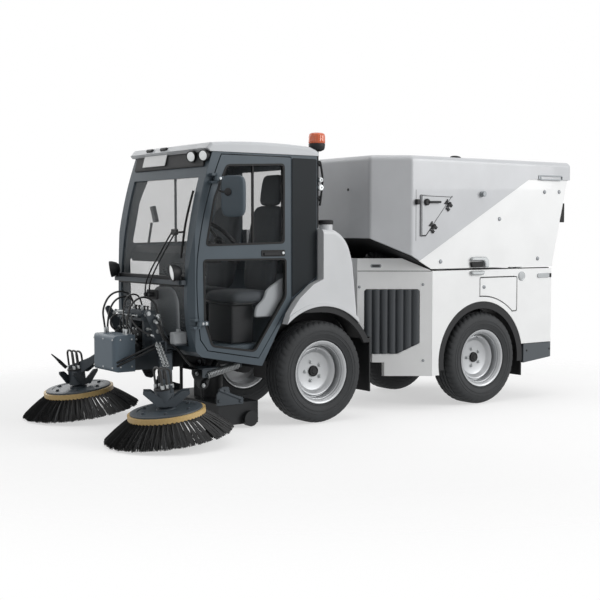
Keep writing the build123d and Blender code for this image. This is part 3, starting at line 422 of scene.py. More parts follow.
def rounded(corners: Sequence[Flat], radius: float, steps: int = 5) -> Array:
    """Round a polygon's corners.

    Each corner is a quadratic curve whose middle control is the corner itself and whose ends lie on the two
    edges, a radius away or half an edge if that is less.

    Args:
        corners: The polygon's points.
        radius: How far along an edge a corner's curve starts.
        steps: Spaces along each curve.

    Returns:
        The closed outline's points.
    """
    points = np.asarray(corners, float)
    curve = np.linspace(0, 1, steps + 1)[None, :, None]
    ends = []
    for shift in (1, -1):
        edge = np.roll(points, shift, axis=0) - points
        length = np.linalg.norm(edge, axis=1, keepdims=True)
        ends.append(points + edge / length * np.minimum(radius, 0.49 * length))
    before, after = (end[:, None, :] for end in ends)
    middle = points[:, None, :]
    ring = (1 - curve) ** 2 * before + 2 * curve * (1 - curve) * middle + curve**2 * after
    return ring.reshape(-1, 2)


def oblong(width: float, height: float, radius: float, steps: int = 5) -> Array:
    """Return a rectangle about its middle, with rounded corners."""
    x, y = width / 2, height / 2
    return rounded([(-x, -y), (x, -y), (x, y), (-x, y)], radius, steps)


def box(x: Flat, y: Flat, radius: float = 6.0) -> Array:
    """Return a rectangle between low and high places, with rounded corners."""
    return rounded([(x[0], y[0]), (x[1], y[0]), (x[1], y[1]), (x[0], y[1])], radius)


def inset(outline: Array, distance: float) -> Array:
    """Move an outline inwards, each point along the mean of its two edges' normals."""
    ahead = np.roll(outline, -1, axis=0)
    edge = ahead - outline
    turn = np.sign(np.sum(outline[:, 0] * ahead[:, 1] - ahead[:, 0] * outline[:, 1]))
    normal = turn * unit(np.stack([-edge[:, 1], edge[:, 0]], axis=1))
    before = np.roll(normal, 1, axis=0)
    share = 1 + np.sum(normal * before, axis=1, keepdims=True)
    return outline + distance * (normal + before) / np.maximum(share, 0.3)


def bend(points: Sequence[Point], steps: int = 8) -> Array:
    """Return a smooth path: quadratic curves from edge middle to edge middle, each controlled by a corner.

    Args:
        points: The route's corners, its two ends among them.
        steps: Spaces along each curve.

    Returns:
        The points of the path.
    """
    route = np.asarray(points, float)
    middle = (route[1:] + route[:-1]) / 2
    middle[0], middle[-1] = route[0], route[-1]
    curve = np.linspace(0, 1, steps, endpoint=False)[None, :, None]
    start, corner, end = middle[:-1, None], route[1:-1, None], middle[1:, None]
    path = (1 - curve) ** 2 * start + 2 * curve * (1 - curve) * corner + curve**2 * end
    return np.concatenate([path.reshape(-1, 3), route[-1:]])


def pebble(size: Point, flat: float, crown: float, rows: int = 25, columns: int = 48) -> Array:
    """Return a boxy ellipsoid on a grid of height and turn.

    Each cosine and sine is raised to a power below one, which squares its corners.

    Args:
        size: Half its length, width and thickness.
        flat: The power for its outline.
        crown: The power for its thickness.
        rows: Points from its lower face to its upper one.
        columns: Points round it.

    Returns:
        Points by row, column and axis.
    """
    up = np.linspace(-pi / 2, pi / 2, rows)[:, None]
    turn = np.arange(columns)[None] * tau / columns

    def power(wave: Array, share: float) -> Array:
        """Raise a wave to a power and keep its sign."""
        return np.sign(wave) * np.abs(wave) ** share

    ring = power(np.cos(up), flat)
    return np.stack([size[0] * ring * power(np.cos(turn), flat), size[1] * ring * power(np.sin(turn), flat),
                     size[2] * power(np.sin(up), crown) * np.ones_like(turn)], axis=2)


@dataclass(frozen=True)
class Axes:
    """A local frame in the drawing: an origin and the directions of its three axes."""

    origin: Array
    x: Array
    y: Array
    z: Array

    @classmethod
    def facing(cls, origin: Any, out: Any, up: Any = (0, 0, 1)) -> Axes:
        """Return a frame whose third axis points out of a surface.

        Args:
            origin: The frame's origin.
            out: The direction of its third axis.
            up: A direction near its second axis.

        Returns:
            The frame.
        """
        z = unit(out)
        x = np.cross(up, z)
        if np.linalg.norm(x) < 0.05:
            x = np.cross((1.0, 0.0, 0.0), z)
        x = unit(x)
        return cls(np.asarray(origin, float), x, np.cross(z, x), z)

    def moved(self, *place: float) -> Axes:
        """Return the frame with its origin at another place."""
        return Axes(np.array(place, float), self.x, self.y, self.z)

    def at(self, points: Array) -> Array:
        """Return local points in the drawing's frame."""
        return self.origin + points[..., :1] * self.x + points[..., 1:2] * self.y + points[..., 2:] * self.z


TIP = 0.01
ORIGIN = np.zeros(3)
EAST, NORTH, UP = np.eye(3)
SIDEWAYS = Axes(ORIGIN, EAST, UP, NORTH)
FORWARD = Axes(ORIGIN, NORTH, UP, EAST)
UPWARD = Axes(ORIGIN, EAST, NORTH, UP)


@dataclass
class Shell:
    """The closed surfaces of a piece under way, in millimetres."""

    points: list[Array] = field(default_factory=list)
    faces: list[list[int]] = field(default_factory=list)
    tones: list[Array] = field(default_factory=list)
    count: int = 0

    def join(self, points: Array, faces: Iterable[Sequence[int]], tones: Array | None = None) -> Shell:
        """Add points and faces that number them from nought.

        Args:
            points: Places of the new points, a row each.
            faces: Point numbers of each face.
            tones: A shade for each point, for strands.

        Returns:
            The shell itself.
        """
        self.faces += [[index + self.count for index in face] for face in faces]
        self.points.append(points)
        self.tones.append(np.zeros(len(points)) if tones is None else tones)
        self.count += len(points)
        return self

    def grid(self, surface: Array, wrap_rows: bool = False, caps: bool = False) -> Shell:
        """Add a surface given on a grid, whose columns close into rings.

        Args:
            surface: Points by row, column and axis.
            wrap_rows: Whether the last row meets the first.
            caps: Whether the first and last rings are filled in.

        Returns:
            The shell itself.
        """
        rows, columns = surface.shape[:2]
        number = np.arange(rows * columns).reshape(rows, columns)
        ahead = np.roll(number, -1, axis=1)
        last = rows if wrap_rows else rows - 1
        up, up_ahead = np.roll(number, -1, axis=0)[:last], np.roll(ahead, -1, axis=0)[:last]
        quads = np.stack([number[:last], ahead[:last], up_ahead, up], axis=-1).reshape(-1, 4)
        start = self.count
        self.join(surface.reshape(-1, 3), quads.tolist())
        if caps:
            self.faces += [(number[0][::-1] + start).tolist(), (number[-1] + start).tolist()]
        return self

    def plate(self, outline: Array, axes: Axes, low: float, high: float, edge: float = 1.5) -> Shell:
        """Add a plate: rings of one outline at four heights, the end ones taken in by the edge's bevel.

        Args:
            outline: The plate's flat outline.
            axes: The frame that it is drawn in.
            low: Where it starts along the third axis.
            high: Where it ends.
            edge: The bevel round both ends.

        Returns:
            The shell itself.
        """
        small = inset(outline, edge)
        rings = [(small, low), (outline, low + edge), (outline, high - edge), (small, high)]
        stack = np.stack([np.column_stack([ring, np.full(len(ring), level)]) for ring, level in rings])
        return self.grid(axes.at(stack), caps=True)

    def ring(self, outline: Array, axes: Axes, width: float, low: float, high: float) -> Shell:
        """Add a flat frame: a rectangular profile carried round an outline, its width on the inner side."""
        corners = ((0, low), (0, high), (width, high), (width, low))
        stack = np.stack([np.column_stack([inset(outline, side), np.full(len(outline), level)])
                          for side, level in corners])
        return self.grid(axes.at(stack), wrap_rows=True)

    def lathe(self, profile: Sequence[Flat], axes: Axes, sides: int = 32, closed: bool = False) -> Shell:
        """Add a turned form: each profile point's radius goes round the third axis at its height.

        Args:
            profile: Radius and height of each point, with the radius TIP where it ends on the axis.
            axes: The frame that it turns in.
            sides: Points round the axis.
            closed: Whether the profile is a loop.

        Returns:
            The shell itself.
        """
        turns = circle(1.0, sides)
        radius, height = np.asarray(profile, float).T
        surface = np.concatenate([radius[:, None, None] * turns[None],
                                  np.broadcast_to(height[:, None, None], (len(radius), sides, 1))], axis=2)
        return self.grid(axes.at(surface), wrap_rows=closed, caps=not closed)

    def tube(self, path: Array, radius: Any, sides: int = 10, up: Any = (0, 0, 1)) -> Shell:
        """Add a round section carried along a path, upright to it at each point.

        Args:
            path: Points of the path.
            radius: The section's radius, or one for each point.
            sides: Points round the section.
            up: A direction that the path never takes.

        Returns:
            The shell itself.
        """
        along = unit(np.gradient(path, axis=0))
        across = unit(np.cross(along, up))
        third = np.cross(along, across)
        turns = circle(1.0, sides)
        size = np.broadcast_to(np.asarray(radius, float), len(path))[:, None, None]
        ring = turns[None, :, :1] * across[:, None] + turns[None, :, 1:] * third[:, None]
        return self.grid(path[:, None] + size * ring, caps=True)

    def rod(self, start: Any, end: Any, radius: float, sides: int = 14, edge: float = 1.0) -> Shell:
        """Add a round bar between two points, with bevelled ends."""
        start, end = np.asarray(start, float), np.asarray(end, float)
        length = float(np.linalg.norm(end - start))
        return self.plate(circle(radius, sides), Axes.facing(start, end - start), 0, length, edge)

    def bolt(self, at: Any, out: Any, radius: float, height: float = 6.0) -> Shell:
        """Add a washer and a hexagon head that stand on a surface."""
        axes = Axes.facing(at, out)
        self.plate(circle(radius * 1.35, 16), axes, -1.0, height * 0.25, 0.4)
        return self.plate(circle(radius, 6), axes, 0, height, radius * 0.14)

    def button(self, at: Any, out: Any, radius: float, height: float) -> Shell:
        """Add a domed head: a turned profile that rises from its rim like a shallow cap."""
        rise = np.linspace(0, pi / 2, 6)
        profile = [(radius, -1.0), *zip(radius * (0.35 + 0.65 * np.cos(rise)), height * np.sin(rise))]
        return self.lathe(profile, Axes.facing(at, out), 20)

    def mirror(self) -> Shell:
        """Add the same surfaces on the other side of the machine."""
        points, faces = np.concatenate(self.points), [face[::-1] for face in self.faces]
        tones = np.concatenate(self.tones)
        return self.join(points * (1, -1, 1), faces, tones)

    def piece(self, name: str, finish: Finish, body: str, replaces: Sequence[str] = (), slot: str = "",
              smooth: float = 35.0, ride: bool = True) -> bpy.types.Object:
        """Turn the shell into a finished object.

        Args:
            name: The piece's name.
            finish: Its finish.
            body: The body that it moves with.
            replaces: Solids that it stands for.
            slot: Not used.
            smooth: The angle in degrees up to which its faces are shaded as one.
            ride: Whether it is set on its body here.

        Returns:
            The object.
        """
        mesh = bpy.data.meshes.new(name)
        mesh.from_pydata(model(np.concatenate(self.points)), [], self.faces)
        tones = np.concatenate(self.tones)
        if tones.any():
            shades = mesh.attributes.new("tone", "FLOAT", "POINT")
            shades.data.foreach_set("value", tones.astype(np.float32))
        work = bmesh.new()
        work.from_mesh(mesh)
        bmesh.ops.remove_doubles(work, verts=work.verts, dist=1e-6)
        bmesh.ops.recalc_face_normals(work, faces=work.faces)
        work.to_mesh(mesh)
        work.free()
        mesh.shade_smooth()
        mesh.set_sharp_from_angle(angle=radians(smooth))
        mesh.materials.append(finish.material())
        obj = bpy.data.objects.new(name, mesh)
        bpy.context.scene.collection.objects.link(obj)
        if ride:
            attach(obj, body)
        if replaces:
            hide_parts(*replaces)
        log.info("piece %s: %d faces on %s", name, len(mesh.polygons), body)
        return obj


# Sub-assemblies


@dataclass
class RoadWheel:
    """One wheel: a ribbed tyre, a dished rim, five bolts and a hub cap."""

    end: str
    side: Side
    axle_x: float
    middle_y: float = 502.5
    radius: float = 367.0
    blocks: int = 46
    block_steps: int = 6
    groove: float = 8.0
    groove_rings: Flat = (20.0, 56.0)
    groove_half: float = 4.5
    shoulder: Flat = (60.5, 344.0)
    crown_half: float = 51.5
    slant: float = 0.012
    notch_share: float = 0.3
    notch_depth: float = 0.6
    slit_share: float = 0.17
    slit_shift: float = 0.35
    slit_depth: float = 0.4
    bolt_circle: float = 70.0

    # Offset from the wheel's middle and radius of each point, from the bead out, to the tread's middle
    SIDEWALL: ClassVar[list[Flat]] = [
        (84, 207), (92, 223), (99, 231), (105, 236), (107, 239), (105, 243), (107, 250), (111, 260),
        (113.6, 270), (114.2, 273), (117, 275), (117, 280), (114.6, 282), (115, 292), (115.2, 296),
        (117.2, 298), (117.2, 302), (114.8, 304), (114, 314), (112, 324), (108, 336), (103, 345), (97, 352)]
    TREAD: ClassVar[list[Flat]] = [
        (90, 357), (82, 361), (74, 364), (66, 366), (61, 366.4), (60, 366.5), (52, 366.6), (51, 366.7),
        (34, 367), (25, 367), (24, 367), (16, 367), (15, 367), (0, 367)]
    # The rim from its outer bead through the dish and the hub's flange to its inner bead
    RIM: ClassVar[list[Flat]] = [
        (93, 206), (94.5, 222), (96, 227), (99, 228), (102, 226.5), (102.5, 222), (99, 214), (92, 206),
        (88, 200), (80, 197), (72, 196), (70, 192), (60, 191), (36, 190), (14, 189.5), (10, 187), (9, 183),
        (10, 179), (28, 177.5), (33, 175), (35, 171), (34.5, 166), (31, 161), (17, 149), (7, 141.5),
        (2, 137.5), (0, 132), (0, 40.6), (-12, 40.6), (-12, 128), (-4, 150), (0, 186), (-40, 192), (-86, 197),
        (-99, 214), (-102.5, 222), (-102, 226.5), (-99, 228), (-96, 227), (-94.5, 222), (-93, 206)]

    def axes(self) -> Axes:
        """Return the wheel's frame, whose third axis points out of the machine."""
        sign = self.side.value
        return Axes(np.array([self.axle_x, sign * self.middle_y, self.radius]), EAST, UP, NORTH * sign)

    def tyre(self) -> Shell:
        """Return the tyre.

        Its profile goes round the axle in even steps. Radius falls by the groove's depth in four rings, and
        by less in the shoulders and the crown, wherever a wave of the angle, slanted with the offset, is
        inside the share that a notch or a slit takes of each block.
        """
        half = np.array(self.SIDEWALL + self.TREAD)
        profile = np.concatenate([half, (half * (-1, 1))[-2::-1]])
        offset, radius = profile[:, :1], profile[:, 1:]
        aside = np.abs(offset)
        steps = self.blocks * self.block_steps
        angle = np.arange(steps)[None] * tau / steps
        inner, outer = (np.abs(aside - middle) < self.groove_half for middle in self.groove_rings)
        wave = np.mod(angle * self.blocks / tau + aside * self.slant, 1.0)
        notch = (wave < self.notch_share) & (aside > self.shoulder[0]) & (radius > self.shoulder[1])
        slit = (np.mod(wave + self.slit_shift, 1.0) < self.slit_share) & (aside < self.crown_half)
        cut = np.select([inner | outer, notch, slit], [1.0, self.notch_depth, self.slit_depth], 0.0)
        size = radius - self.groove * cut
        surface = np.stack([size * np.cos(angle), size * np.sin(angle),
                            np.broadcast_to(offset, size.shape)], axis=2)
        return Shell().grid(self.axes().at(surface), wrap_rows=True)

    def build(self) -> None:
        """Make the wheel's pieces and set them on its body."""
        place = f"{self.end}_{self.side.word}"
        body = f"wheel_{place}"
        axes = self.axes()
        self.tyre().piece(f"tyre_tread_{place}", PALETTE.tyre_rubber, body, [f"tyre_{place}"], "tyre", 28)
        rim = Shell().lathe([(radius, offset) for offset, radius in self.RIM], axes, 96, closed=True)
        rim.piece(f"rim_dish_{place}", PALETTE.wheel_lacquer, body, [f"rim_{place}"], "wheel_silver", 40)
        bolts = Shell()
        for x, z in circle(self.bolt_circle, 5):
            at = axes.at(np.array([x, z, 0.0]))
            bolts.lathe([(15, -1), (15, 3), (12, 6), (TIP, 6)], Axes.facing(at, axes.z), 18)
            bolts.bolt(at + axes.z * 4, axes.z, 9.5, 11)
        valve_foot, valve_tip = axes.at(np.array([(0, 168, 24.0), (0, 160, 58.0)]))
        bolts.rod(valve_foot, valve_tip, 4.5)
        bolts.piece(f"wheel_bolts_{place}", PALETTE.zinc, body)
        cap = Shell().lathe([(39.8, -3), (39.8, 9), (37, 14), (32, 16), (29, 12), (20, 12), (17, 16),
                             (TIP, 16)], axes, 40)
        cap.piece(f"hub_cap_{place}", PALETTE.black_abs, body)


@dataclass
class BrushHead:
    """One side brush: strands in tufts, the disc's bolts and rim, and the motor's cap, pipes and fittings."""

    side: Side
    rows: tuple[Flat, ...] = ((247, 428), (241, 416), (233, 396), (225, 368))
    tufts: int = 58
    strands: int = 24
    root_z: float = -17.0
    drop: float = 126.0
    strand_radius: float = 2.5
    levels: int = 4
    corners: int = 3
    seed: int = 11
    tuft_sway: float = 0.045
    root_sway: float = 0.01
    strand_sway: float = 0.025
    tuft_short: float = 0.08
    strand_short: float = 0.07
    root_spread: Flat = (-6.0, 4.0)
    fall_short: float = 0.07
    pipe_shifts: Point = (-34.0, 0.0, 34.0)

    def axes(self) -> Axes:
        """Return the brush's frame, which leans forward by its tilt."""
        lean = np.array([cos(BRUSH_TILT), 0, -sin(BRUSH_TILT)])
        return Axes(np.array(BRUSH_CENTRE[self.side]), lean, NORTH,
                    np.array([sin(BRUSH_TILT), 0, cos(BRUSH_TILT)]))

    def bristles(self) -> Shell:
        """Return the strands.

        Each runs outwards evenly and falls a little faster towards its tip, from a root in its tuft to a tip
        that strays in angle, length and fall, part of it with its tuft and part alone. Its three-sided
        section narrows to the tip.
        """
        draw = np.random.default_rng(self.seed + self.side.value)
        rows, count = len(self.rows), self.tufts * self.strands
        total = rows * count
        reach = np.repeat(np.array(self.rows), count, axis=0)
        tuft = np.tile(np.repeat(np.arange(self.tufts), self.strands), rows)
        tuft = tuft + np.repeat(np.arange(rows), count) / rows
        clump = np.repeat(draw.random((3, rows * self.tufts)), self.strands, axis=1)
        root_angle = tuft * tau / self.tufts + draw.normal(0, self.root_sway, total)
        stray = (clump[0] - 0.5) * self.tuft_sway + draw.normal(0, self.strand_sway, total)
        long = 1 - self.tuft_short * clump[1] ** 2 - self.strand_short * draw.random(total) ** 2
        root = reach[:, 0] + draw.uniform(*self.root_spread, total)
        tip = root + (reach[:, 1] - root) * long
        fall = self.drop * (1 - self.fall_short * draw.random(total))
        # Each strand's pale tone, by itself and by its tuft: dust, and painted sheen on the strands
        dust_and_sheen = 0.5 * draw.random(total) ** 2 + 0.5 * clump[2] ** 2
        way = np.linspace(0, 1, self.levels)[None]
        radius = root[:, None] + (tip - root)[:, None] * way
        angle = root_angle[:, None] + stray[:, None] * way**1.5
        height = self.root_z + 6 * (1 - way) - fall[:, None] * (0.8 * way + 0.2 * way**2)
        line = np.stack([radius * np.cos(angle), radius * np.sin(angle), height], axis=2)
        along = unit(np.gradient(line, axis=1))
        across = unit(np.cross(along, (0, 0, 1)))
        third = np.cross(along, across)
        turns = circle(1.0, self.corners)[None, None]
        size = (self.strand_radius * (1.15 - 0.55 * way))[..., None, None]
        section = turns[..., :1] * across[:, :, None] + turns[..., 1:] * third[:, :, None]
        each = self.levels * self.corners
        points = (line[:, :, None] + size * section).reshape(total, each, 3)
        ring = np.arange(each).reshape(self.levels, self.corners)
        ahead = np.roll(ring, -1, axis=1)
        quads = np.stack([ring[:-1], ahead[:-1], ahead[1:], ring[1:]], axis=-1).reshape(-1, 4)
        end = ring[-1].tolist()
        faces = [[corner + start for corner in face] for start in range(0, total * each, each)
                 for face in [*quads.tolist(), end]]
        fade = np.repeat(np.linspace(0.7, 1.0, self.levels), self.corners)
        tones = np.repeat(dust_and_sheen, each) * np.tile(fade, total)
        return Shell().join(self.axes().at(points.reshape(-1, 3)), faces, tones + 1e-3)

    def build(self) -> None:
        """Make the brush's pieces and set them on its bodies."""
        word, axes = self.side.word, self.axes()
        spin, arm = f"brush_{word}", f"arm_{word}"
        self.bristles().piece(f"strands_{word}", PALETTE.strands, spin, [f"bristles_{word}"], "bristle", 60)
        bolts = Shell()
        for x, y in circle(168, 6):
            bolts.bolt(axes.at(np.array([x, y, 28.0])), axes.z, 11, 13)
        bolts.lathe([(64, 27), (64, 34), (58, 38), (30, 40), (26, 46), (TIP, 46)], axes, 32)
        bolts.lathe([(190, 19), (190, 30.5), (230, 30.5), (236, 28), (238, 18.5), (200, 18.2)], axes, 72,
                    closed=True)
        bolts.piece(f"disc_bolts_{word}", PALETTE.gear_coat, spin)
        motor = Shell().lathe([(66, 158), (66, 166), (60, 172), (40, 176), (TIP, 176)], axes, 32)
        for x, y in circle(50, 6):
            motor.bolt(axes.at(np.array([x, y, 173.0])), axes.z, 7, 8)
        motor.piece(f"motor_cap_{word}", PALETTE.black_abs, arm)
        pipes, fittings = Shell(), Shell()
        for shift, top in zip(self.pipe_shifts, (288, 298, 308)):
            route = [(shift, -42, 168), (shift, -42, 232), (shift, -44, top), (shift, 46, top),
                     (shift, 50, 230), (shift, 50, 168)]
            pipes.tube(axes.at(bend(route, 9)), 7.5, 10, up=axes.x)
            for end in (route[0], route[-1]):
                foot = axes.at(np.array(end))
                fittings.plate(circle(13, 6), Axes.facing(foot, axes.z), 0, 26, 1.5)
        pipes.piece(f"motor_pipes_{word}", PALETTE.hose_rubber, arm)
        fittings.piece(f"motor_fittings_{word}", PALETTE.zinc, arm)


@dataclass
class Hose:
    """One hydraulic hose: a cord between two fittings on the machine."""

    name: str
    route: list[Point]
    radius: float = 7.0
    body: str = "front_chassis"

    @staticmethod
    def across(route: Sequence[Point]) -> list[Point]:
        """Return a route's copy on the other side of the machine."""
        return [(x, -y, z) for x, y, z in route]

    @classmethod
    def pair(cls, name: str, route: list[Point], radius: float) -> list[Hose]:
        """Return a hose on the left and its copy on the right."""
        return [cls(f"{name}_left", route, radius), cls(f"{name}_right", cls.across(route), radius)]

    def build(self) -> None:
        """Make the hose as one smooth spline."""
        curve = bpy.data.curves.new(self.name, "CURVE")
        curve.dimensions = "3D"
        curve.bevel_depth = self.radius * METRE
        curve.bevel_resolution = 3
        curve.use_fill_caps = True
        spline = curve.splines.new("NURBS")
        spline.points.add(len(self.route) - 1)
        places = np.column_stack([model(self.route), np.ones(len(self.route))])
        spline.points.foreach_set("co", places.ravel())
        spline.order_u = 3
        spline.use_endpoint_u = True
        spline.resolution_u = 10
        curve.materials.append(PALETTE.hose_rubber.material())
        obj = bpy.data.objects.new(self.name, curve)
        bpy.context.scene.collection.objects.link(obj)
        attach(obj, self.body)
        self.ferrules()

    def ferrules(self) -> None:
        """Make the hexagon nut and the crimped sleeve at both ends."""
        shell = Shell()
        nut, crimp, sleeve, mouth = self.radius * np.array([1.7, 1.25, 1.35, 1.1])
        for end, near in ((0, 1), (-1, -2)):
            start = np.asarray(self.route[end], float)
            way = unit(np.asarray(self.route[near], float) - start)
            axes = Axes.facing(start - way * 6, way)
            shell.plate(circle(nut, 6), axes, 0, 16, 1.5)
            shell.lathe([(crimp, 14), (sleeve, 18), (sleeve, 44), (mouth, 48), (TIP, 48)], axes, 16)
        shell.piece(f"{self.name}_ferrules", PALETTE.zinc, self.body)


@dataclass
class SweepingGear:
    """The brush carrier's fittings: hoses, pipes, chains, springs, rods, brackets and the washer tank."""

    body: str = "front_chassis"
    chain_top: Point = (1974.0, 330.0, 622.0)
    chain_foot: Point = (2012.0, 511.0, 486.0)
    chain_links: int = 14
    chain_gap: float = 11.0
    link: Flat = (17.0, 4.0)
    spring_ends: tuple[Point, Point] = ((1400, 450, 450), (1668, 450, 392))
    spring_radius: float = 23.0
    spring_wire: float = 4.8
    coils: int = 22
    pump_z: float = 660.0
    manifold_x: float = 2020.0

    # Steel pipes on the left side, from the valve block to the carrier and the lift lever
    PIPES: ClassVar[list[list[Point]]] = [
        [(1900, 125, 788), (1900, 185, 792), (1898, 232, 770), (1892, 238, 690), (1890, 238, 626)],
        [(1935, 125, 776), (1935, 168, 780), (1926, 196, 752), (1894, 200, 690), (1890, 200, 626)],
        [(1962, 125, 800), (1966, 190, 812), (1984, 245, 808), (1996, 292, 792)],
        [(1940, 110, 700), (1942, 170, 705), (1950, 232, 700), (1952, 292, 690)],
        [(1935, 110, 660), (1936, 150, 664), (1915, 168, 652), (1890, 165, 640), (1888, 165, 626)],
    ]
    BUNDLE: ClassVar[list[Point]] = [
        (1962, 318, 806), (1972, 345, 790), (1960, 352, 720), (1925, 350, 650), (1860, 350, 600),
        (1785, 352, 520), (1715, 345, 445), (1640, 310, 455), (1610, 258, 470)]
    HOSES: ClassVar[list[Hose]] = [
        Hose("hose_cover_loop", [(1925, -100, 826), (1930, -100, 880), (1985, -100, 960), (2110, -100, 950),
                                 (2175, -100, 840), (2160, -100, 740), (2150, -100, 668)]),
        Hose("hose_valve_loop", [(2110, 130, 668), (2105, 132, 760), (2080, 136, 880), (1990, 140, 935),
                                 (1905, 150, 900), (1872, 165, 800), (1876, 175, 700), (1880, 180, 624)]),
        Hose("hose_valve_short", [(1945, 60, 828), (1948, 60, 880), (1990, 62, 950), (2080, 66, 930),
                                  (2105, 70, 800), (2095, 72, 668)], 6.0),
        Hose("hose_right_loop", [(2120, -135, 668), (2118, -136, 760), (2080, -140, 880), (1990, -145, 925),
                                 (1905, -150, 890), (1874, -165, 790), (1880, -180, 624)]),
        *Hose.pair("hose_manifold", [(2012, 17, 795), (2052, 20, 800), (2066, 48, 752), (2044, 72, 700),
                                     (2022, 76, 660), (2020, 76, 622)], 5.0),
        *Hose.pair("hose_lever", [(2012, 107, 795), (2062, 112, 800), (2082, 160, 765), (2056, 215, 712),
                                  (2006, 258, 676), (1962, 292, 664)], 6.0),
        Hose("hose_bundle_a", BUNDLE, 8.0),
        Hose("hose_bundle_b", [(1990, 318, 770), (1996, 360, 760), (1975, 372, 690), (1930, 370, 632),
                               (1862, 370, 592), (1790, 372, 508), (1712, 362, 428), (1610, 320, 440),
                               (1570, 258, 470)], 8.0),
        Hose("hose_bundle_right", Hose.across(BUNDLE), 8.0),
    ]

    def chain(self, side: Side) -> None:
        """Hang a doubled chain of oval links, each turned a quarter, from the post's ear to the arm."""
        sign = side.value
        top, foot = np.array(self.chain_top) * (1, sign, 1), np.array(self.chain_foot) * (1, sign, 1)
        way = unit(foot - top)
        across = unit(np.cross(way, (0, 0, 1)))
        third = np.cross(way, across)
        step = np.linalg.norm(foot - top) / self.chain_links
        angle = np.linspace(0, tau, 14, endpoint=False)
        long, thick = self.link
        turns = circle(thick, 6)[None]
        shell = Shell()
        for index, shift in product(range(self.chain_links), (-self.chain_gap, self.chain_gap)):
            middle = top + way * step * (index + 0.5) + across * shift
            flat = across if index % 2 else third
            lengthwise = np.outer(np.cos(angle) * (step * 0.72), way)
            loop = middle + lengthwise + np.outer(np.sin(angle) * long * 0.62, flat)
            out = unit(loop - middle)[:, None]
            surface = loop[:, None] + turns[..., :1] * out + turns[..., 1:] * np.cross(way, flat)
            shell.grid(surface, wrap_rows=True)
        obj = shell.piece(f"lift_chain_{side.word}", PALETTE.zinc, f"arm_{side.word}", ride=False)
        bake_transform(obj)
        eye = top + (4, -4 * sign, 2)
        cheek = Axes.facing((1928, 358 * sign, 590), (0.8765, -0.4815 * sign, 0))
        ear = Shell().plate(box((-16, 16), (-62, 62), 12), cheek, -6, 6)
        ear.rod((1926, 360 * sign, 638), eye, 7)
        ear.button(eye, (0.76, -0.65 * sign, 0), 11, 6)
        ear.piece(f"chain_ear_{side.word}", PALETTE.gear_coat, f"post_{side.word}")

    def spring(self) -> Shell:
        """Return the left coil spring: a round wire on a helix, drawn in to its axis at both ends."""
        start, end = (np.asarray(point, float) for point in self.spring_ends)
        way = unit(end - start)
        across, third = NORTH, np.cross(way, NORTH)
        share = np.linspace(0, 1, self.coils * 12)[:, None]
        angle = share * self.coils * tau
        wide = self.spring_radius * np.clip(np.minimum(share, 1 - share) * 18, 0.15, 1)
        path = start + share * (end - start) + wide * (np.cos(angle) * across + np.sin(angle) * third)
        return Shell().tube(path, self.spring_wire, 7, up=way)

    def springs(self) -> None:
        """Make the lift springs, the brackets at their ends, and the tie rods."""
        hangers = Shell()
        start, end = self.spring_ends
        hangers.plate(box((start[0] - 22, start[0] + 14), (430, 500), 8), SIDEWAYS, 446, 454)
        arm = rounded([(1640, 376), (1700, 376), (1700, 440), (1560, 440), (1560, 420), (1640, 412)], 8)
        hangers.plate(arm, SIDEWAYS, 446, 454)
        hangers.plate(box((1560, 1700), (255, 456), 6), UPWARD, 432, 442)
        hangers.rod((end[0], 438, end[2]), (end[0], 462, end[2]), 7)
        hangers.mirror().piece("spring_hangers", PALETTE.gear_coat, self.body)
        self.spring().mirror().piece("lift_springs", PALETTE.zinc, self.body)
        rods = Shell()
        for drop in (0, 24):
            rods.rod((2198, 160, 486 - drop), (1945, 288, 618 - drop), 8)
        rods.mirror().piece("tie_rods", PALETTE.frame_coat, self.body)

    def brackets(self) -> None:
        """Make the lift brackets below the cab, the suction mouth's links and the right brush's marker."""
        lift = Shell()
        cheek = rounded([(1590, 436), (1742, 436), (1742, 396), (1690, 300), (1640, 286), (1612, 310)], 16)
        lift.plate(cheek, SIDEWAYS, 378, 390)
        lift.plate(box((1590, 1742), (256, 392), 5), UPWARD, 428, 436)
        lift.rod((1660, 366, 318), (1660, 402, 318), 16)
        lift.rod((1655, 402, 330), (1500, 300, 462), 20)
        lift.mirror().piece("lift_brackets", PALETTE.frame_coat, self.body)
        pivots = Shell()
        pivots.rod((1640, 396, 346), (1560, 341, 412), 11)
        for place in ((1660, 402, 318), (1706, 390, 402), (1628, 390, 412)):
            pivots.bolt(place, NORTH, 11, 9)
        pivots.mirror().piece("lift_pivots", PALETTE.zinc, self.body)
        links = Shell()
        links.plate(rounded([(1360, 170), (1580, 170), (1580, 250), (1540, 300), (1480, 300), (1470, 250),
                             (1360, 215)], 14), SIDEWAYS, 431, 443)
        links.rod((1380, 440, 205), (1560, 440, 282), 11)
        for x, z in ((1385, 192), (1560, 205), (1512, 270)):
            links.bolt((x, 443, z), NORTH, 11, 9)
        links.mirror().piece("mouth_links", PALETTE.gear_coat, "mouth")
        flag = Shell()
        path = bend([(2196, -665, 376), (2224, -665, 402), (2262, -665, 440), (2310, -665, 482)], 6)
        taper = np.concatenate([np.full(7, 13.0), np.linspace(12, 4, 6)])
        flag.tube(path, taper, 12, up=(0, 1, 0))
        flag.piece("brush_marker", PALETTE.rubber, "arm_right")

    def tank(self) -> None:
        """Make the washer tank before the left pillar, and its shelf."""
        tank = Shell().plate(box((1818, 1922), (618, 700), 14), SIDEWAYS, 396, 456, 8)
        tank.lathe([(16, 698), (16, 714), (13, 718), (TIP, 718)], UPWARD.moved(1870, 426, 0), 24)
        tank.piece("washer_tank", PALETTE.pale_abs, self.body)
        shelf = Shell().plate(box((1762, 1908), (404, 448), 4), UPWARD, 608, 620)
        shelf.piece("tank_shelf", PALETTE.gear_coat, self.body)

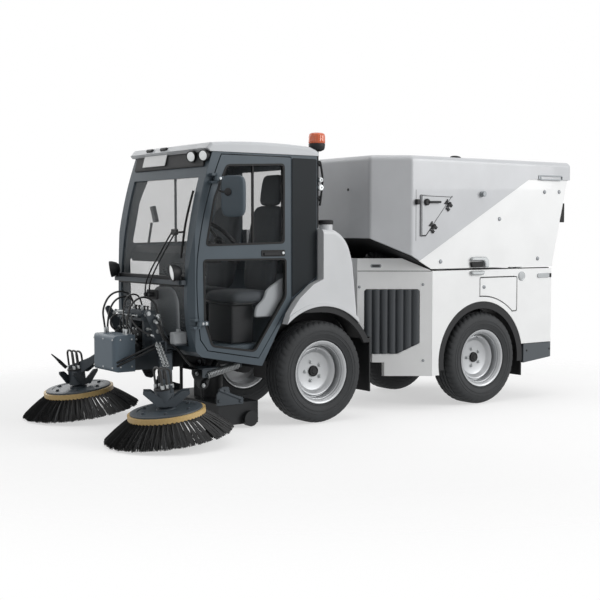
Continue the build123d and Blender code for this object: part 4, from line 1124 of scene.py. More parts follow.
    def cover(self) -> None:
        """Make the bolts on the carrier cover's front and sides."""
        bolts = Shell()
        for y, z in ((-140, 450), (140, 450), (-140, 640), (140, 640), (0, 640), (0, 450)):
            bolts.button((2219, y, z), EAST, 7, 5)
        for x, z in product((2085, 2170), (455, 640)):
            bolts.button((x, 164.5, z), NORTH, 7, 5)
            bolts.button((x, -164.5, z), -NORTH, 7, 5)
        bolts.piece("cover_bolts", PALETTE.zinc, self.body)

    def valves(self) -> None:
        """Make the manifold, the pump, their nuts, the pipes, the valve coils and the levers' bolts."""
        block = Shell().plate(box((1990, 2050), (-104, 104), 6), UPWARD, 518, 600, 4)
        block.lathe([(58, 1856), (58, 1960), (50, 1972), (30, 1976), (TIP, 1976)],
                    FORWARD.moved(0, 0, self.pump_z), 36)
        block.piece("manifold_and_pump", PALETTE.frame_coat, self.body)
        nuts = Shell()
        for y in (-76, -26, 26, 76):
            nuts.plate(circle(15, 6), UPWARD.moved(self.manifold_x, y, 0), 598, 618, 2)
        for y, z in circle(44, 6):
            nuts.bolt((1974, y, self.pump_z + z), EAST, 7, 7)
        nuts.piece("manifold_nuts", PALETTE.zinc, self.body)
        pipes = Shell()
        for route in self.PIPES:
            pipes.tube(bend(route, 8), 6.5, 10, up=(0.9, 0.1, 0.05))
            for end, near in ((0, 1), (-1, -2)):
                way = unit(np.subtract(route[near], route[end]))
                pipes.plate(circle(12, 6), Axes.facing(route[end], way), -2, 20, 1.5)
        pipes.mirror().piece("valve_pipes", PALETTE.zinc, self.body)
        coils = Shell()
        for y in (-107, -62, -17, 17, 62, 107):
            coils.rod((1930, y, 826), (1930, y, 852), 6)
            coils.button((1930, y, 852), UP, 11, 9)
        coils.piece("valve_coils", PALETTE.black_abs, self.body)
        pins = Shell()
        for x, z in ((2030, 822), (1915, 650), (1960, 700)):
            pins.bolt((x, 306, z), NORTH, 12, 9)
        pins.mirror().piece("lever_bolts", PALETTE.zinc, self.body)

    def build(self) -> None:
        """Make all of the gear's fittings."""
        for hose in self.HOSES:
            hose.build()
        for side in Side:
            self.chain(side)
        self.springs()
        self.brackets()
        self.tank()
        self.cover()
        self.valves()


@dataclass
class Seat:
    """The two seats: padded cushion, back and headrest on a plastic pedestal."""

    body: str = "front_chassis"
    middle_y: float = 270.0
    lean: float = radians(9.7)
    seam_width: float = 9.0
    seam_depth: float = 7.0
    crown: float = 0.22
    fill: float = 0.8

    def pad(self, name: str, axes: Axes, size: Point, channel: float) -> bpy.types.Object:
        """Make one pad.

        It is a boxy ellipsoid, its cosines and sines raised to small powers, crowned across its face, with a
        sewn channel pressed in along two lines.

        Args:
            name: The piece's name.
            axes: The pad's frame, the third axis out of its face.
            size: Half its length, half its width and half its thickness.
            channel: How far from the middle the channels run.

        Returns:
            The pad.
        """
        x, y, z = np.moveaxis(pebble(size, 0.34, 0.7), 2, 0)
        face = z > 0
        press = np.exp(-(((np.abs(y) - channel) / self.seam_width) ** 2)) * self.seam_depth * face
        crown = 1 + self.crown * (1 - (x / size[0]) ** 2) * face
        shell = Shell().grid(axes.at(np.stack([x, y, z * crown - press], axis=2)), caps=True)
        obj = shell.piece(name, PALETTE.seat_cloth, self.body, slot="seat_cloth", smooth=60)
        return obj

    def build(self) -> None:
        """Make both seats. The first cushion stands for the plain seat solids."""
        lean = np.array([-sin(self.lean), 0, cos(self.lean)])
        ahead = np.array([cos(self.lean), 0, sin(self.lean)])
        leaning = Axes(ORIGIN, lean, NORTH, ahead)
        for side in Side:
            y = self.middle_y * side.value
            cushion = self.pad(f"seat_cushion_{side.word}", UPWARD.moved(1275, y, 912), (192, 202, 44), 120)
            if side is Side.LEFT:
                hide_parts("seats")
            self.pad(f"seat_back_{side.word}", leaning.moved(1072, y, 1255), (310, 184, 36), 110)
            self.pad(f"headrest_{side.word}", leaning.moved(998, y, 1672), (112, 112, 30), 300)
        base = Shell()
        base.plate(box((1262, 1448), (112, 428), 20), UPWARD, 592, 872, 10)
        base.plate(box((1090, 1460), (80, 460), 30), UPWARD, 862, 884, 6)
        for stalk_y in (230, 310):
            base.rod((1032, stalk_y, 1500), (1020, stalk_y, 1570), 8)
        base.mirror().piece("seat_pedestals", PALETTE.black_abs, self.body)


@dataclass
class CabFittings:
    """What is fixed to the cab: wiper, lamps, plate, seals, handles, mirrors, mast and what is inside."""

    body: str = "front_chassis"
    handle_x: Flat = (1083.0, 1281.0)
    handle_z: Flat = (1202.0, 1247.0)
    handle_rim: float = 6.0
    split_x: float = 1341.0
    lamp_y: float = 450.0
    lamp_z: float = 1105.0
    mirror_turn: float = radians(30)
    hub: Point = (1440.0, 270.0, 1300.0)
    wheel_radius: float = 180.0
    grip_radius: float = 15.0
    arch_radius: float = 466.0

    LAMP_TURNS: ClassVar[dict[Side, float]] = {Side.LEFT: radians(-12), Side.RIGHT: radians(-30)}
    # The door's panes and the cab's rear quarter, by X and Z
    UPPER: ClassVar[list[Flat]] = [(1560, 1825), (1087, 1845), (1087, 1295), (1725, 1280), (1660, 1600)]
    LOWER: ClassVar[list[Flat]] = [
        (1745, 1185), (1072, 1185), (1072, 918), (1335, 545), (1681, 600), (1738, 760)]
    QUARTER: ClassVar[list[Flat]] = [(806, 1054), (1019, 909), (1019, 1890), (806, 1890)]

    def wiper(self) -> None:
        """Make the wiper: two arms side by side from a spindle plate to the blade's carrier."""
        arms = Shell()
        arms.plate(box((-40, 110), (900, 968), 14), FORWARD, 1843, 1862, 4)
        for shift in (0.0, 58.0):
            arms.lathe([(16, 1860), (16, 1892), (12, 1898), (TIP, 1898)], FORWARD.moved(0, shift, 936), 20)
            route = [(1892, shift, 936), (1905, shift + 22, 1000), (1902, shift + 90, 1100),
                     (1862, 280 + shift * 0.8, 1330), (1846, 310 + shift * 0.95, 1376)]
            arms.tube(bend(route, 8), 5.5, 8)
        arms.plate(box((300, 374), (1352, 1392), 8), FORWARD, 1834, 1852, 3)
        arms.piece("wiper_arms", PALETTE.black_abs, self.body)
        blade = Shell()
        path = bend([(1848, 424, 1195), (1836, 436, 1330), (1812, 446, 1490), (1768, 458, 1650)], 8)
        blade.tube(path, 6.0, 8, up=(0, 1, 0))
        blade.tube(path + (-8, 0, 0), 3.5, 6, up=(0, 1, 0))
        blade.rod((1846, 366, 1368), (1838, 438, 1372), 7)
        blade.piece("wiper_blade", PALETTE.rubber, self.body)

    def lamps(self) -> None:
        """Make the headlamps and roof lamps in place of their plain solids, the visor and the blank plate."""
        cups, lenses = Shell(), Shell()
        for side, turn in self.LAMP_TURNS.items():
            y = self.lamp_y * side.value
            axes = Axes.facing((1898, y, self.lamp_z), (cos(turn), sin(turn), -0.16))
            cups.lathe([(14, -36), (26, -34), (44, -16), (56, 12), (60, 34), (57, 37), (53, 36), (52, 28),
                        (TIP, 28)], axes, 40)
            lenses.lathe([(51, 29), (51, 31), (40, 34), (20, 36), (TIP, 36.5)], axes, 40)
            cups.plate(box((-14, 14), (-62, -20), 5), axes, -26, -14, 2)
            cups.rod((1880, y, 1040), (1886, y, 1062), 10)
        cups.plate(box((-458, 458), (1006, 1074), 8), FORWARD, 1846, 1867, 3)
        for y in (352, 512):
            roof = Axes.facing((1704, y, 1886), (0.92, 0.36, -0.12))
            cups.lathe([(14, -30), (30, -24), (37, -6), (39, 24), (37, 30), (34, 29), (33, 24), (TIP, 24)],
                       roof, 36)
            lenses.lathe([(32.5, 24.5), (32.5, 26), (22, 31), (TIP, 33)], roof, 36)
        cups.piece("lamp_bowls", PALETTE.black_abs, self.body, ["lamps"], "black_plastic")
        lenses.piece("lamp_lenses", PALETTE.lens_clear, self.body, slot="lamp_clear")
        section = [(1684, 1800), (1716, 1816), (1714, 1832), (1694, 1912), (1650, 1912), (1660, 1800)]
        visor = Shell().plate(rounded(section, 8), SIDEWAYS, -482, 500, 4)
        visor.piece("roof_visor", PALETTE.black_abs, self.body)
        board = Shell().plate(oblong(330, 82, 6), Axes.facing((1708, -180, 1878), (0.96, 0, 0.26)), 0, 5, 1)
        board.piece("blank_plate", PALETTE.white_coat, self.body, slot="white_paint")

    def panes(self) -> None:
        """Make the dark panes of the cab's rear quarters."""
        panes = Shell().plate(rounded(self.QUARTER, 14), SIDEWAYS, 550.4, 554.5, 1)
        panes.mirror().piece("quarter_panes", PALETTE.dark_glass, self.body, slot="glass")

    def door(self, side: Side) -> None:
        """Make one door's rubber, window rail, handle, lock and hinge bolts."""
        door = f"cab_door_{side.word}"
        out = NORTH * side.value
        axes = Axes(ORIGIN, EAST, UP, out)
        rubber, trim, metal = Shell(), Shell(), Shell()
        for pane in (self.UPPER, self.LOWER):
            rubber.ring(inset(rounded(pane, 28), -5), axes, 14, 524, 554.5)
        rubber.plate(box((self.split_x - 7, self.split_x + 7), (1290, 1836), 2), axes, 526, 542, 1)
        rubber.piece(f"door_seals_{side.word}", PALETTE.rubber, door)
        trim.ring(box(self.handle_x, self.handle_z, 10), axes, 7, 546, 556)
        well_x, well_z = ((low + self.handle_rim, high - self.handle_rim)
                          for low, high in (self.handle_x, self.handle_z))
        trim.plate(box(well_x, well_z, 6), axes, 546, 553, 1)
        trim.plate(box((1120, 1262), (1208, 1230), 8), axes, 550, 562, 3)
        trim.piece(f"door_handle_{side.word}", PALETTE.black_abs, door)
        metal.lathe([(11, 550), (11, 558), (9, 560), (TIP, 560)], axes.moved(1098, 0, 1225), 20)
        for hinge_x, hinge_z in ((1660, 1730), (1800, 760)):
            for back in (52, 26):
                metal.bolt((hinge_x - back, 592 * side.value, hinge_z), out, 7, 6)
        metal.piece(f"door_metal_{side.word}", PALETTE.zinc, door)

    def mirror(self, side: Side) -> None:
        """Make one mirror: its face, its bent stay with the ball joint, and its head."""
        sign = side.value
        door = f"cab_door_{side.word}"
        facing = np.array([-cos(self.mirror_turn), -sin(self.mirror_turn) * sign, 0])
        centre = np.array([1610, 715.0 * sign, 1610])
        glass = Shell().plate(oblong(150, 250, 40), Axes.facing(centre, facing), 22, 28.5, 1)
        glass.piece(f"mirror_face_{side.word}", PALETTE.mirror_glass, door)
        route = [(1606, 588 * sign, 1722), (1650, 606 * sign, 1712), (1672, 624 * sign, 1660),
                 (1674, 660 * sign, 1636), (1656, 702 * sign, 1637)]
        stay = Shell().tube(bend(route, 7), 7, 8, up=(0.3, 0.1, 1))
        ball = Axes.facing((1647, 706.0 * sign, 1637), -facing)
        stay.lathe([(20, -8), (26, -4), (26, 6), (20, 14), (9, 18), (TIP, 18)], ball, 20)
        stay.piece(f"mirror_stay_{side.word}", PALETTE.black_abs, door)
        surface = Axes.facing(centre, -facing).at(pebble((87.5, 137.5, 28), 0.42, 0.6))
        head = Shell().grid(surface, caps=True)
        head.piece(f"mirror_head_{side.word}", PALETTE.slate_coat, door, [f"mirror_{side.word}"],
                   "black_plastic", 50)

    def steering(self) -> None:
        """Make the steering wheel: a ring of round section, three spokes and a hub on the column."""
        way = unit((-0.75, 0, 0.66))
        axes = Axes.facing(self.hub, way)
        angle = np.arange(56)[:, None] * tau / 56
        turns = circle(self.grip_radius, 10)
        reach = self.wheel_radius + turns[None, :, 0]
        height = np.broadcast_to(turns[None, :, 1], (len(angle), len(turns)))
        surface = np.stack([reach * np.cos(angle), reach * np.sin(angle), height], axis=2)
        shell = Shell().grid(axes.at(surface), wrap_rows=True)
        for share in (0.0, 0.36, 0.64):
            spoke = np.array([-sin(share * tau), cos(share * tau), 0.0])
            start, end = axes.at(np.stack([spoke * 40, spoke * (self.wheel_radius - 6)]))
            shell.plate(oblong(34, 10, 4), Axes.facing(start, end - start, way), 0,
                        float(np.linalg.norm(end - start)))
        shell.lathe([(46, -14), (50, -4), (48, 10), (36, 16), (TIP, 17)], axes, 32)
        shell.rod(self.hub, np.asarray(self.hub) - way * 168, 24)
        shell.piece("steering_rim", PALETTE.black_abs, self.body, ["steering_wheel"], "black_plastic")

    def inside(self) -> None:
        """Make the pale side covers and footwell lining, the monitor, pedals and the instruments' hood."""
        beside = [(1010, 776), (1305, 776), (1292, 850), (1225, 905), (1205, 965), (1150, 1002),
                  (1075, 1044), (1040, 1044)]
        footwell = [(-205, 640), (205, 640), (190, 900), (120, 985), (-120, 985), (-190, 900)]
        pale = Shell().plate(rounded(beside, 26), SIDEWAYS, 480, 503, 8).mirror()
        pale.plate(rounded(footwell, 50), FORWARD, 1724, 1752, 10)
        pale.piece("inner_linings", PALETTE.pale_abs, self.body)
        dark = Shell()
        dark.plate(oblong(170, 120, 10), Axes.facing((1640, -345, 1500), (-0.9, 0.35, 0.2)), 0, 24, 4)
        dark.rod((1650, -345, 1440), (1668, -370, 1262), 9)
        for y in (190, 270, 350):
            dark.plate(oblong(62, 88, 10), Axes.facing((1668, y, 668), (-0.8, 0, 0.6)), 0, 10, 2)
            dark.rod((1672, y, 660), (1735, y, 640), 7)
        dark.plate(oblong(300, 120, 24), Axes.facing((1590, 270, 1258), (-0.55, 0, 0.83)), 0, 30, 8)
        dark.piece("cab_controls", PALETTE.black_abs, self.body)

    def filler(self) -> None:
        """Make the filler cap behind the cab, fluted by a cosine of the angle."""
        sides = 72
        flutes = 54 + 1.8 * np.cos(np.arange(sides) * tau / 3)
        turns = circle(1.0, sides)
        heights = ((0.9, 1424), (1.0, 1430), (1.0, 1452), (0.9, 1458), (0.5, 1460))
        surface = np.stack([np.column_stack([turns * (flutes * share)[:, None], np.full(sides, level)])
                            for share, level in heights])
        cap = Shell().grid(UPWARD.moved(685, 500, 0).at(surface), caps=True)
        cap.piece("filler_lid", PALETTE.black_abs, self.body)

    def mast(self) -> None:
        """Make the beacon's ribbed dome, its foot, and the mast's clamps, cable and couplings."""
        mast = UPWARD.moved(765, 500, 0)
        sides, rib = 96, 0.018
        ribs = 1 + rib * np.cos(np.arange(sides) * tau / 4)
        heights = ((56, 2004), (60, 2008), (61, 2020), (60, 2056), (56, 2072), (44, 2080), (22, 2083),
                   (1, 2084))
        surface = np.stack([np.column_stack([circle(radius / (1 + rib), sides) * ribs[:, None],
                                             np.full(sides, level)]) for radius, level in heights])
        lens = Shell().grid(mast.at(surface), caps=True)
        lens.piece("beacon_dome", PALETTE.lens_amber, self.body, ["beacon_lens"], "amber", 60)
        clamps = Shell()
        for level in (1612, 1862):
            clamps.lathe([(22, level - 20), (22, level + 20)], mast, 20)
            clamps.bolt((765, 522, level), NORTH, 8, 7)
        clamps.lathe([(30, 1950), (52, 1960), (58, 1976), (60, 2000), (57, 2006)], mast, 40)
        cable = [(752, 520, 1880), (735, 532, 1780), (742, 536, 1700), (752, 520, 1560)]
        clamps.tube(bend(cable, 8), 8, 8, up=(0, 1, 0))
        clamps.piece("mast_clamps", PALETTE.black_abs, self.body)
        couplings = Shell()
        for level, radius in ((1690, 24), (1745, 19)):
            profile = [(9, 516), (radius, 520), (radius, 538), (radius - 7, 544), (8, 544), (6, 536),
                       (TIP, 536)]
            couplings.lathe(profile, SIDEWAYS.moved(754, 0, level), 24)
        couplings.piece("mast_couplings", PALETTE.zinc, self.body)

    def markers(self) -> None:
        """Make the two low markers on the roof's front slope."""
        slope = Axes(ORIGIN, NORTH, unit((-0.668, 0, 0.744)), unit((0.744, 0, 0.668)))
        markers = Shell()
        for y in (-268, -62):
            markers.plate(box((-46, 46), (-11, 11), 8), slope.moved(1697, y, 1955), -6, 13, 4)
        markers.piece("roof_markers", PALETTE.black_abs, self.body)

    def arches(self) -> None:
        """Close the front wheel arches inside with an upright liner."""
        angle = np.radians(np.linspace(72, 150, 20))
        round_x, round_z = self.arch_radius * np.cos(angle), self.arch_radius * np.sin(angle)
        arch = np.column_stack([800 + round_x, 370 + round_z])
        outline = np.concatenate([[(394, 560), (1160, 600), (1046, 806)], arch])
        wall = Shell().plate(outline, SIDEWAYS, 364, 376, 2)
        wall.mirror().piece("arch_liners", PALETTE.black_abs, self.body)

    def build(self) -> None:
        """Make all of the cab's fittings."""
        self.arches()
        self.wiper()
        self.lamps()
        self.panes()
        for side in Side:
            self.door(side)
            self.mirror(side)
        self.steering()
        self.inside()
        self.filler()
        self.mast()
        self.markers()
        Seat().build()


@dataclass
class HopperFittings:
    """What is fixed to the hopper: hatch hinges and latch, caps, knob, grips, seams, hooks and handles."""

    tub_y: float = 610.0
    hinge_step: Flat = (0.679, -0.734)

    CAPS: ClassVar[list[Flat]] = [(-340, 1144), (-973, 1475), (-1492, 1700), (-1668, 1704), (-1418, 1153)]
    HINGES: ClassVar[list[Flat]] = [(-399, 1578), (-242, 1408)]
    HATCH: ClassVar[list[Flat]] = [(-119, 1654), (-452, 1648), (-178, 1338), (-119, 1338)]
    HATCH_RIM: ClassVar[list[Flat]] = [(-122, 1651), (-438, 1645), (-169, 1341), (-122, 1341)]

    def hatch(self) -> None:
        """Make the hatch's seal, the leaves of its two hinges, and its lever latch."""
        seal = Shell().ring(rounded(self.HATCH, 6), SIDEWAYS, 14, 619, 621)
        seal.piece("hatch_seal", PALETTE.rubber, "hopper")
        step = np.array(self.hinge_step)
        inward = np.array([-step[1], step[0]])
        fixed, moving = Shell(), Shell()
        moving.ring(inset(rounded(self.HATCH_RIM, 4), 3), SIDEWAYS, 4.5, 632.6, 633.8)
        for hinge in self.HINGES:
            middle = np.array(hinge)
            (low_x, low_z), (high_x, high_z) = (middle + step * way * 26 for way in (-1, 1))
            moving.rod((low_x, 634, low_z), (high_x, 634, high_z), 11.5, 16, 2)
            for way in (-1, 1):
                foot = middle + step * way * 21
                finger = [foot - step * 9, foot + step * 9, foot + step * 12 - inward * 38,
                          foot - step * 12 - inward * 38]
                fixed.plate(rounded([tuple(corner) for corner in finger], 5), SIDEWAYS, 619.5, 631, 2)
                tip = middle + step * way * 14 + inward * 42
                near = middle + inward * 12
                arm = [near - step * 7, near + step * 7, tip + step * 13, tip - step * 13]
                moving.plate(rounded([tuple(corner) for corner in arm], 4), SIDEWAYS, 632.5, 640, 2)
        fixed.piece("hatch_hinge_leaves", PALETTE.black_abs, "hopper")
        moving.piece("hatch_hinge_arms", PALETTE.black_abs, "hatch")
        lever = Shell()
        lever.lathe([(26, 632), (26, 644), (20, 652), (TIP, 652)], SIDEWAYS.moved(-172, 0, 1598), 24)
        handle = rounded([(-172, 1590), (-172, 1606), (-310, 1608), (-310, 1592)], 7)
        lever.plate(handle, SIDEWAYS, 640, 652, 3)
        lever.piece("hatch_lever", PALETTE.black_abs, "hatch")
        keeper = Shell().plate(box((-102, -66), (1578, 1618), 8), SIDEWAYS, 619, 648, 4)
        keeper.piece("hatch_keeper", PALETTE.black_abs, "hopper")

    def trim(self) -> None:
        """Make the tub's caps, and the hood's knob, side grips and dark lines."""
        caps = Shell()
        for x, z in self.CAPS:
            caps.button((x, self.tub_y, z), NORTH, 17, 8)
        caps.mirror().piece("tub_caps", PALETTE.cast_steel, "hopper")
        knob = Shell().lathe([(24, 619), (24, 624), (15, 628), (15, 636), (21, 640), (21, 650), (17, 654),
                              (TIP, 654)], SIDEWAYS.moved(-767, 0, 1670), 28)
        knob.piece("hood_knob", PALETTE.cast_steel, "hopper")
        grip = Shell()
        grip.ring(box((-1692, -1426), (1797, 1838), 18), SIDEWAYS, 9, 619, 628)
        grip.plate(box((-1440, -1405), (1800, 1836), 12), SIDEWAYS, 619, 626, 2)
        grip.mirror().piece("hood_grips", PALETTE.cast_steel, "hopper")
        lines = Shell()
        lines.plate(box((-79.5, -76.5), (1303, 1690), 1), SIDEWAYS, 619.4, 620.6, 0.2)
        lines.mirror()
        lines.plate(box((162, 182), (1686, 1706), 8), FORWARD, 220, 226, 2)
        lines.plate(box((-1783, -1735), (1452, 1612), 6), SIDEWAYS, 560, 570, 2)
        lines.piece("hood_lines", PALETTE.rubber, "hopper")

    def apron(self) -> None:
        """Make a black sheet of painted shade under the tub's slanted front."""
        slope = Axes(np.array([-245.0, 0, 1088]), unit((467, 0, 238)), NORTH, unit((-238, 0, 467)))
        half = [(4, 604), (232, 604), (518, 426)]
        outline = np.array(half + [(along, -y) for along, y in reversed(half)], float)
        apron = Shell().plate(outline, slope, -5, -1.2, 0.5)
        apron.piece("hopper_apron", PALETTE.rubber, "hopper")

    def handles(self) -> None:
        """Make the grips on the hood's top, the tub's hooks with their pads, and the gate's handles."""
        top = Shell()
        grip = [(-460, 582, 1940), (-460, 584, 1952), (-512, 584, 1957), (-566, 584, 1952), (-566, 582, 1940)]
        top.tube(bend(grip, 6), 7, 8, up=(0, 1, 0))
        top.mirror().piece("top_grips", PALETTE.black_abs, "hopper")
        bent = [(-838, 1092), (-838, 1150), (-806, 1176), (-668, 1176), (-650, 1160), (-650, 1146),
                (-780, 1146), (-796, 1128), (-796, 1092)]
        hook = Shell().plate(rounded(bent, 14), SIDEWAYS, 609, 640, 6)
        hook.mirror().piece("hopper_hooks", PALETTE.zinc, "hopper")
        wedge = rounded([(-784, 1094), (-660, 1094), (-648, 1136), (-776, 1136)], 8)
        pad = Shell().plate(wedge, SIDEWAYS, 609, 632, 3)
        pad.mirror().piece("hopper_hook_pads", PALETTE.rubber, "hopper")
        gate = Shell()
        for y in (-300, 300):
            bow = [(-1652, y - 70, 1290), (-1700, y - 70, 1284), (-1702, y, 1284), (-1700, y + 70, 1284),
                   (-1652, y + 70, 1290)]
            gate.tube(bend(bow, 6), 9, 8)
        gate.piece("gate_handles", PALETTE.zinc, "gate")

    def build(self) -> None:
        """Make all of the hopper's fittings."""
        self.hatch()
        self.trim()
        # Painted shade: a black sheet under the tub's slanted front
        self.apron()
        self.handles()


@dataclass
class BodyFittings:
    """What is fixed to the rear body: grilles, seams, markers, locks, bolts, intake ducts and rear lamps."""

    body: str = "rear_chassis"
    panel_y: float = 620.0
    nose_x: float = -245.0
    nose_slant: float = atan2(335, 465)
    grille_s: Flat = (93.0, 520.0)
    grille_z: Flat = (436.0, 934.0)
    grille_cut: Flat = (176.0, 84.0)
    grille_corner: float = 24.0
    grille_back: float = -17.5
    waves: int = 7
    wave_points: int = 14
    wave_foot: float = -7.0
    wave_rise: float = 15.0

    def wall(self) -> Axes:
        """Return a frame on the left slanted wall: along it, up and out of it."""
        along = np.array([cos(self.nose_slant), -sin(self.nose_slant), 0])
        out = np.array([sin(self.nose_slant), cos(self.nose_slant), 0])
        return Axes(np.array([self.nose_x, self.panel_y, 0]), along, UP, out)

    def on_nose(self, x: float, z: float) -> Array:
        """Return a point on the left slanted wall."""
        return np.array([x, self.panel_y - (x - self.nose_x) * np.tan(self.nose_slant), z])

    def grille(self) -> None:
        """Make the corrugated grilles.

        Across the wall the surface stands out by a rounded wave, the sine's size raised to a small power. Its
        foot rises along the cut corner, and its upper corners follow a circle.
        """
        low_s, high_s = self.grille_s
        low_z, high_z = self.grille_z
        cut_s, cut_z = self.grille_cut
        bend_radius = self.grille_corner
        s = np.linspace(low_s + 1.5, high_s - 1.5, self.waves * self.wave_points + 1)
        share = (s - low_s) / (high_s - low_s)
        ridge = self.wave_foot + self.wave_rise * np.abs(np.sin(pi * self.waves * share)) ** 0.6
        near = np.minimum(np.minimum(s - low_s, high_s - s), bend_radius)
        corner = bend_radius - np.sqrt(bend_radius**2 - (bend_radius - near) ** 2)
        foot = np.maximum(low_z + 2 + np.maximum(0, cut_z * (1 - (s - low_s) / cut_s)), low_z + corner)
        head = high_z - 2 - corner
        height = foot + np.linspace(0, 1, 3)[:, None] * (head - foot)
        front, back = (np.stack(np.broadcast_arrays(s, height, rise), axis=2)
                       for rise in (ridge, np.full_like(ridge, self.grille_back)))
        axes = self.wall()
        ribs = Shell().grid(axes.at(np.concatenate([front, back[:, ::-1]], axis=1)), caps=True).mirror()
        ribs.piece("corrugated_grilles", PALETTE.grille_abs, self.body, ["nose_grilles"], "black_plastic",
                   50)
        cut = np.array([(low_s - 2, low_z + 56), (low_s + 56, low_z - 2), (low_s + cut_s, low_z - 2),
                        (low_s - 2, low_z + cut_z)], float)
        infill = Shell().plate(cut, axes, -24, -0.2, 0.4)
        infill.mirror().piece("grille_corners", PALETTE.white_coat, self.body, slot="white_paint")

    def edges(self) -> None:
        """Make the dark seams below the cowl, and a black ring of painted shadow in the gap round the service
        flap.
        """
        seams = Shell().plate(box((2, 571), (1070.5, 1075), 1), self.wall(), -1.5, 0.6, 0.2)
        seams.mirror().piece("panel_seams", PALETTE.rubber, self.body)
        angle = np.radians(np.linspace(87.2, 132.2, 14))
        arch = np.column_stack([-778 + 503 * np.cos(angle), 360 + 503 * np.sin(angle)])
        head = rounded([(-1170, 732), (-1170, 1011), (-753, 1011), (-753, 862)], 18)[6:18]
        # Painted shadow: a thin black ring lying in the gap round the flap
        edge = Shell().ring(np.concatenate([arch, [(-1168, 734)], head]), SIDEWAYS, 4.0, 618.5, 620.4)
        edge.piece("flap_edge", PALETTE.rubber, "flap")

    def nose(self) -> None:
        """Make the nose's bolts and the two markers on the cowl."""
        out = self.wall().z
        bolts = Shell()
        for x, z in ((-189, 970), (-192, 385), (206, 951)):
            bolts.button(self.on_nose(x, z), out, 11, 5)
        bolts.mirror().piece("nose_bolts", PALETTE.cast_steel, self.body)
        marker = Axes.facing(self.on_nose(104, 1112), out)
        slot = Shell().plate(oblong(82, 27, 13), marker, -2, 4, 1.5)
        slot.mirror().piece("cowl_markers", PALETTE.cast_steel, self.body)
        inlay = Shell().plate(oblong(62, 14, 7), marker, 3, 5.5, 1)
        inlay.mirror().piece("cowl_marker_lenses", PALETTE.black_abs, self.body)

    def sides(self) -> None:
        """Make the sides' reflectors and markers, the flap's lock, the hooks' keepers and deck seals."""
        lens = Shell().lathe([(38, 619), (38, 625), (34, 629), (30, 628), (28, 630), (TIP, 631)],
                             SIDEWAYS.moved(-1222, 0, 1013), 36)
        lens.plate(box((-1548, -1404), (994, 1032), 18), SIDEWAYS, 619, 628, 3)
        lens.mirror().piece("side_reflectors", PALETTE.lens_grey, self.body)
        end = Shell().plate(box((-1572, -1553), (996, 1030), 6), SIDEWAYS, 619, 627, 2)
        end.mirror().piece("marker_ends", PALETTE.black_abs, self.body)
        lock = Shell().lathe([(15, 619), (15, 624), (12, 626), (4, 626), (3.5, 622), (TIP, 622)],
                             SIDEWAYS.moved(-798, 0, 935), 24)
        lock.piece("flap_lock", PALETTE.cast_steel, "flap")
        wedge = rounded([(-782, 1034), (-652, 1034), (-640, 1066), (-790, 1066)], 16)
        keeper = Shell().plate(wedge, SIDEWAYS, 619, 646, 7)
        keeper.mirror().piece("hook_keepers", PALETTE.zinc, self.body)
        strip = Shell().plate(box((-1560, -830), (1072, 1080), 3), SIDEWAYS, 570, 606, 1)
        strip.mirror().piece("deck_seals", PALETTE.rubber, self.body)

    def ducts(self) -> None:
        """Make the two corrugated intake ducts, whose radius goes up and down along them."""
        route = [(60, 210, 1030), (70, 215, 1110), (40, 240, 1190), (-60, 300, 1150), (-150, 330, 1040)]
        path = bend(route, 16)
        radius = 48 + 4 * np.cos(np.arange(len(path)) * tau / 4)
        duct = Shell().tube(path, radius, 24, up=(0.5, -0.85, 0))
        duct.mirror().piece("intake_ducts", PALETTE.black_abs, self.body)

    def rear(self) -> None:
        """Make the rear lamps' lenses, the blank rear plate and the bumper's bolts."""
        lamps = Shell()
        for z in (865, 765, 665, 565):
            lamps.lathe([(44, -1598), (40, -1603), (20, -1606), (TIP, -1606)], FORWARD.moved(0, 500, z), 28)
        lamps.mirror().piece("rear_lenses", PALETTE.lens_red, self.body, slot="lamp_red")
        board = Shell().plate(oblong(520, 115, 8), Axes.facing((-1576, 0, 740), -EAST), 0, 6, 1.5)
        board.piece("blank_rear_plate", PALETTE.white_coat, self.body, slot="white_paint")
        feet = Shell()
        for x in (-1290, -1560):
            feet.button((x, 621.5, 400), NORTH, 9, 5)
        feet.mirror().piece("bumper_bolts", PALETTE.black_abs, self.body)

    def build(self) -> None:
        """Make all of the rear body's fittings."""
        self.grille()
        self.edges()
        self.nose()
        self.sides()
        self.ducts()
        self.rear()


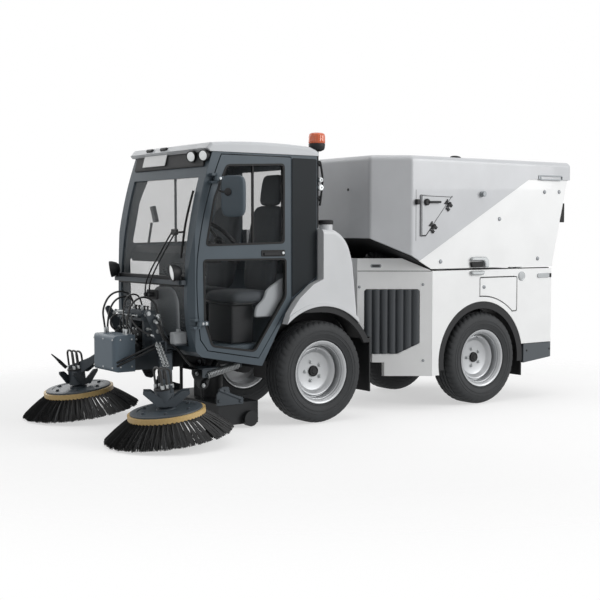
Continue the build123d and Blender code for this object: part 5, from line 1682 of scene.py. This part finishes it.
@dataclass
class Studio:
    """Camera, lights, backdrop and floor."""

    eye: Point = (5726.92, 7204.84, 1377.39)
    azimuth: float = radians(54.3261)
    pitch: float = radians(3.4106)
    lens: float = 69.27
    sensor: float = 36.0
    fade: Flat = (2.7, 4.6)
    floor_radius: float = 6.0
    floor_sides: int = 96
    floor_z: float = -0.001
    floor_lift: float = 0.55
    world_light: float = 0.33
    light_aim: Point = (0.0, 0.0, 0.9)

    LIGHTS: ClassVar[list[tuple[str, Point, float, float]]] = [
        ("key", (-8.6, 11.6, 6.0), 8.0, 1330.0), ("front_fill", (7.0, 1.0, 3.2), 4.0, 30.0),
        ("top", (-0.5, 0.5, 7.0), 6.0, 130.0), ("far_fill", (1.0, -7.0, 4.0), 5.0, 120.0)]

    def camera(self) -> None:
        """Set the camera where the picture was taken from."""
        data = bpy.data.cameras.new("camera")
        data.lens, data.sensor_width = self.lens, self.sensor
        obj = bpy.data.objects.new("camera", data)
        look = Vector((-cos(self.azimuth) * cos(self.pitch), -sin(self.azimuth) * cos(self.pitch),
                       -sin(self.pitch)))
        obj.location = model([self.eye])[0]
        obj.rotation_euler = look.to_track_quat("-Z", "Y").to_euler()
        bpy.context.scene.collection.objects.link(obj)
        bpy.context.scene.camera = obj

    def lights(self) -> None:
        """Hang the soft lights, each turned to the machine's middle."""
        for name, place, size, power in self.LIGHTS:
            data = bpy.data.lights.new(name, "AREA")
            data.size, data.energy = size, power
            obj = bpy.data.objects.new(name, data)
            obj.location = place
            aim = Vector(self.light_aim) - Vector(place)
            obj.rotation_euler = aim.to_track_quat("-Z", "Y").to_euler()
            bpy.context.scene.collection.objects.link(obj)

    def seen(self, tree: bpy.types.NodeTree) -> Any:
        """Return a socket that is one for what the camera, a gloss or a pane shows, and nought for light."""
        path = add(tree, "ShaderNodeLightPath")
        first = add(tree, "ShaderNodeMath", {"operation": "MAXIMUM"},
                    links={0: path.outputs["Is Camera Ray"], 1: path.outputs["Is Glossy Ray"]})
        both = add(tree, "ShaderNodeMath", {"operation": "MAXIMUM"},
                   links={0: first.outputs["Value"], 1: path.outputs["Is Transmission Ray"]})
        return both.outputs["Value"]

    def backdrop(self) -> None:
        """Make the world white to the eye and a plain soft light to the machine."""
        world = bpy.data.worlds.new("studio")
        world.use_nodes = True
        tree = world.node_tree
        strength = add(tree, "ShaderNodeMapRange", values={"To Min": self.world_light, "To Max": 1.0},
                       links={"Value": self.seen(tree)})
        background = tree.nodes["Background"]
        background.inputs["Color"].default_value = (1, 1, 1, 1)
        tree.links.new(strength.outputs["Result"], background.inputs["Strength"])
        bpy.context.scene.world = world

    def floor(self) -> None:
        """Lay a pale floor that keeps the shadow and fades into the backdrop."""
        ring = circle(self.floor_radius, self.floor_sides)
        level = np.full(self.floor_sides, self.floor_z)
        mesh = bpy.data.meshes.new("floor")
        mesh.from_pydata(np.column_stack([ring, level]), [], [list(range(self.floor_sides))])
        material = bpy.data.materials.new("studio_paper_white")
        material.use_nodes = True
        tree = material.node_tree
        shader = tree.nodes["Principled BSDF"]
        shader.inputs["Base Color"].default_value = linear("BEBEBE")
        shader.inputs["Roughness"].default_value = 0.9
        shader.inputs["Specular IOR Level"].default_value = 0.0
        coords = add(tree, "ShaderNodeTexCoord").outputs["Object"]
        far = add(tree, "ShaderNodeVectorMath", {"operation": "LENGTH"}, links={0: coords})
        solid = add(tree, "ShaderNodeMapRange", {"interpolation_type": "SMOOTHSTEP"},
                    {"From Min": self.fade[0], "From Max": self.fade[1], "To Min": 1.0, "To Max": 0.0},
                    {"Value": far.outputs["Value"]})
        tree.links.new(solid.outputs["Result"], shader.inputs["Alpha"])
        lift = add(tree, "ShaderNodeMapRange", values={"To Min": 0.0, "To Max": self.floor_lift},
                   links={"Value": self.seen(tree)})
        shader.inputs["Emission Color"].default_value = (1, 1, 1, 1)
        tree.links.new(lift.outputs["Result"], shader.inputs["Emission Strength"])
        mesh.materials.append(material)
        obj = bpy.data.objects.new("floor", mesh)
        bpy.context.scene.collection.objects.link(obj)

    def build(self) -> None:
        """Set up the whole studio."""
        bpy.context.scene.view_settings.view_transform = "Standard"
        self.camera()
        self.lights()
        self.backdrop()
        self.floor()


def main() -> None:
    """Load the solids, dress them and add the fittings."""
    logging.basicConfig(level=logging.INFO, format="%(name)s %(message)s")
    for obj in list(bpy.data.objects):
        bpy.data.objects.remove(obj)
    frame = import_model()
    Studio().build()
    PALETTE.dress(frame["nodes"])
    for end, axle_x in (("front", 800.0), ("rear", -800.0)):
        for side in Side:
            RoadWheel(end, side, axle_x).build()
    for side in Side:
        BrushHead(side).build()
    SweepingGear().build()
    CabFittings().build()
    HopperFittings().build()
    BodyFittings().build()


if __name__ == "__main__":
    main()
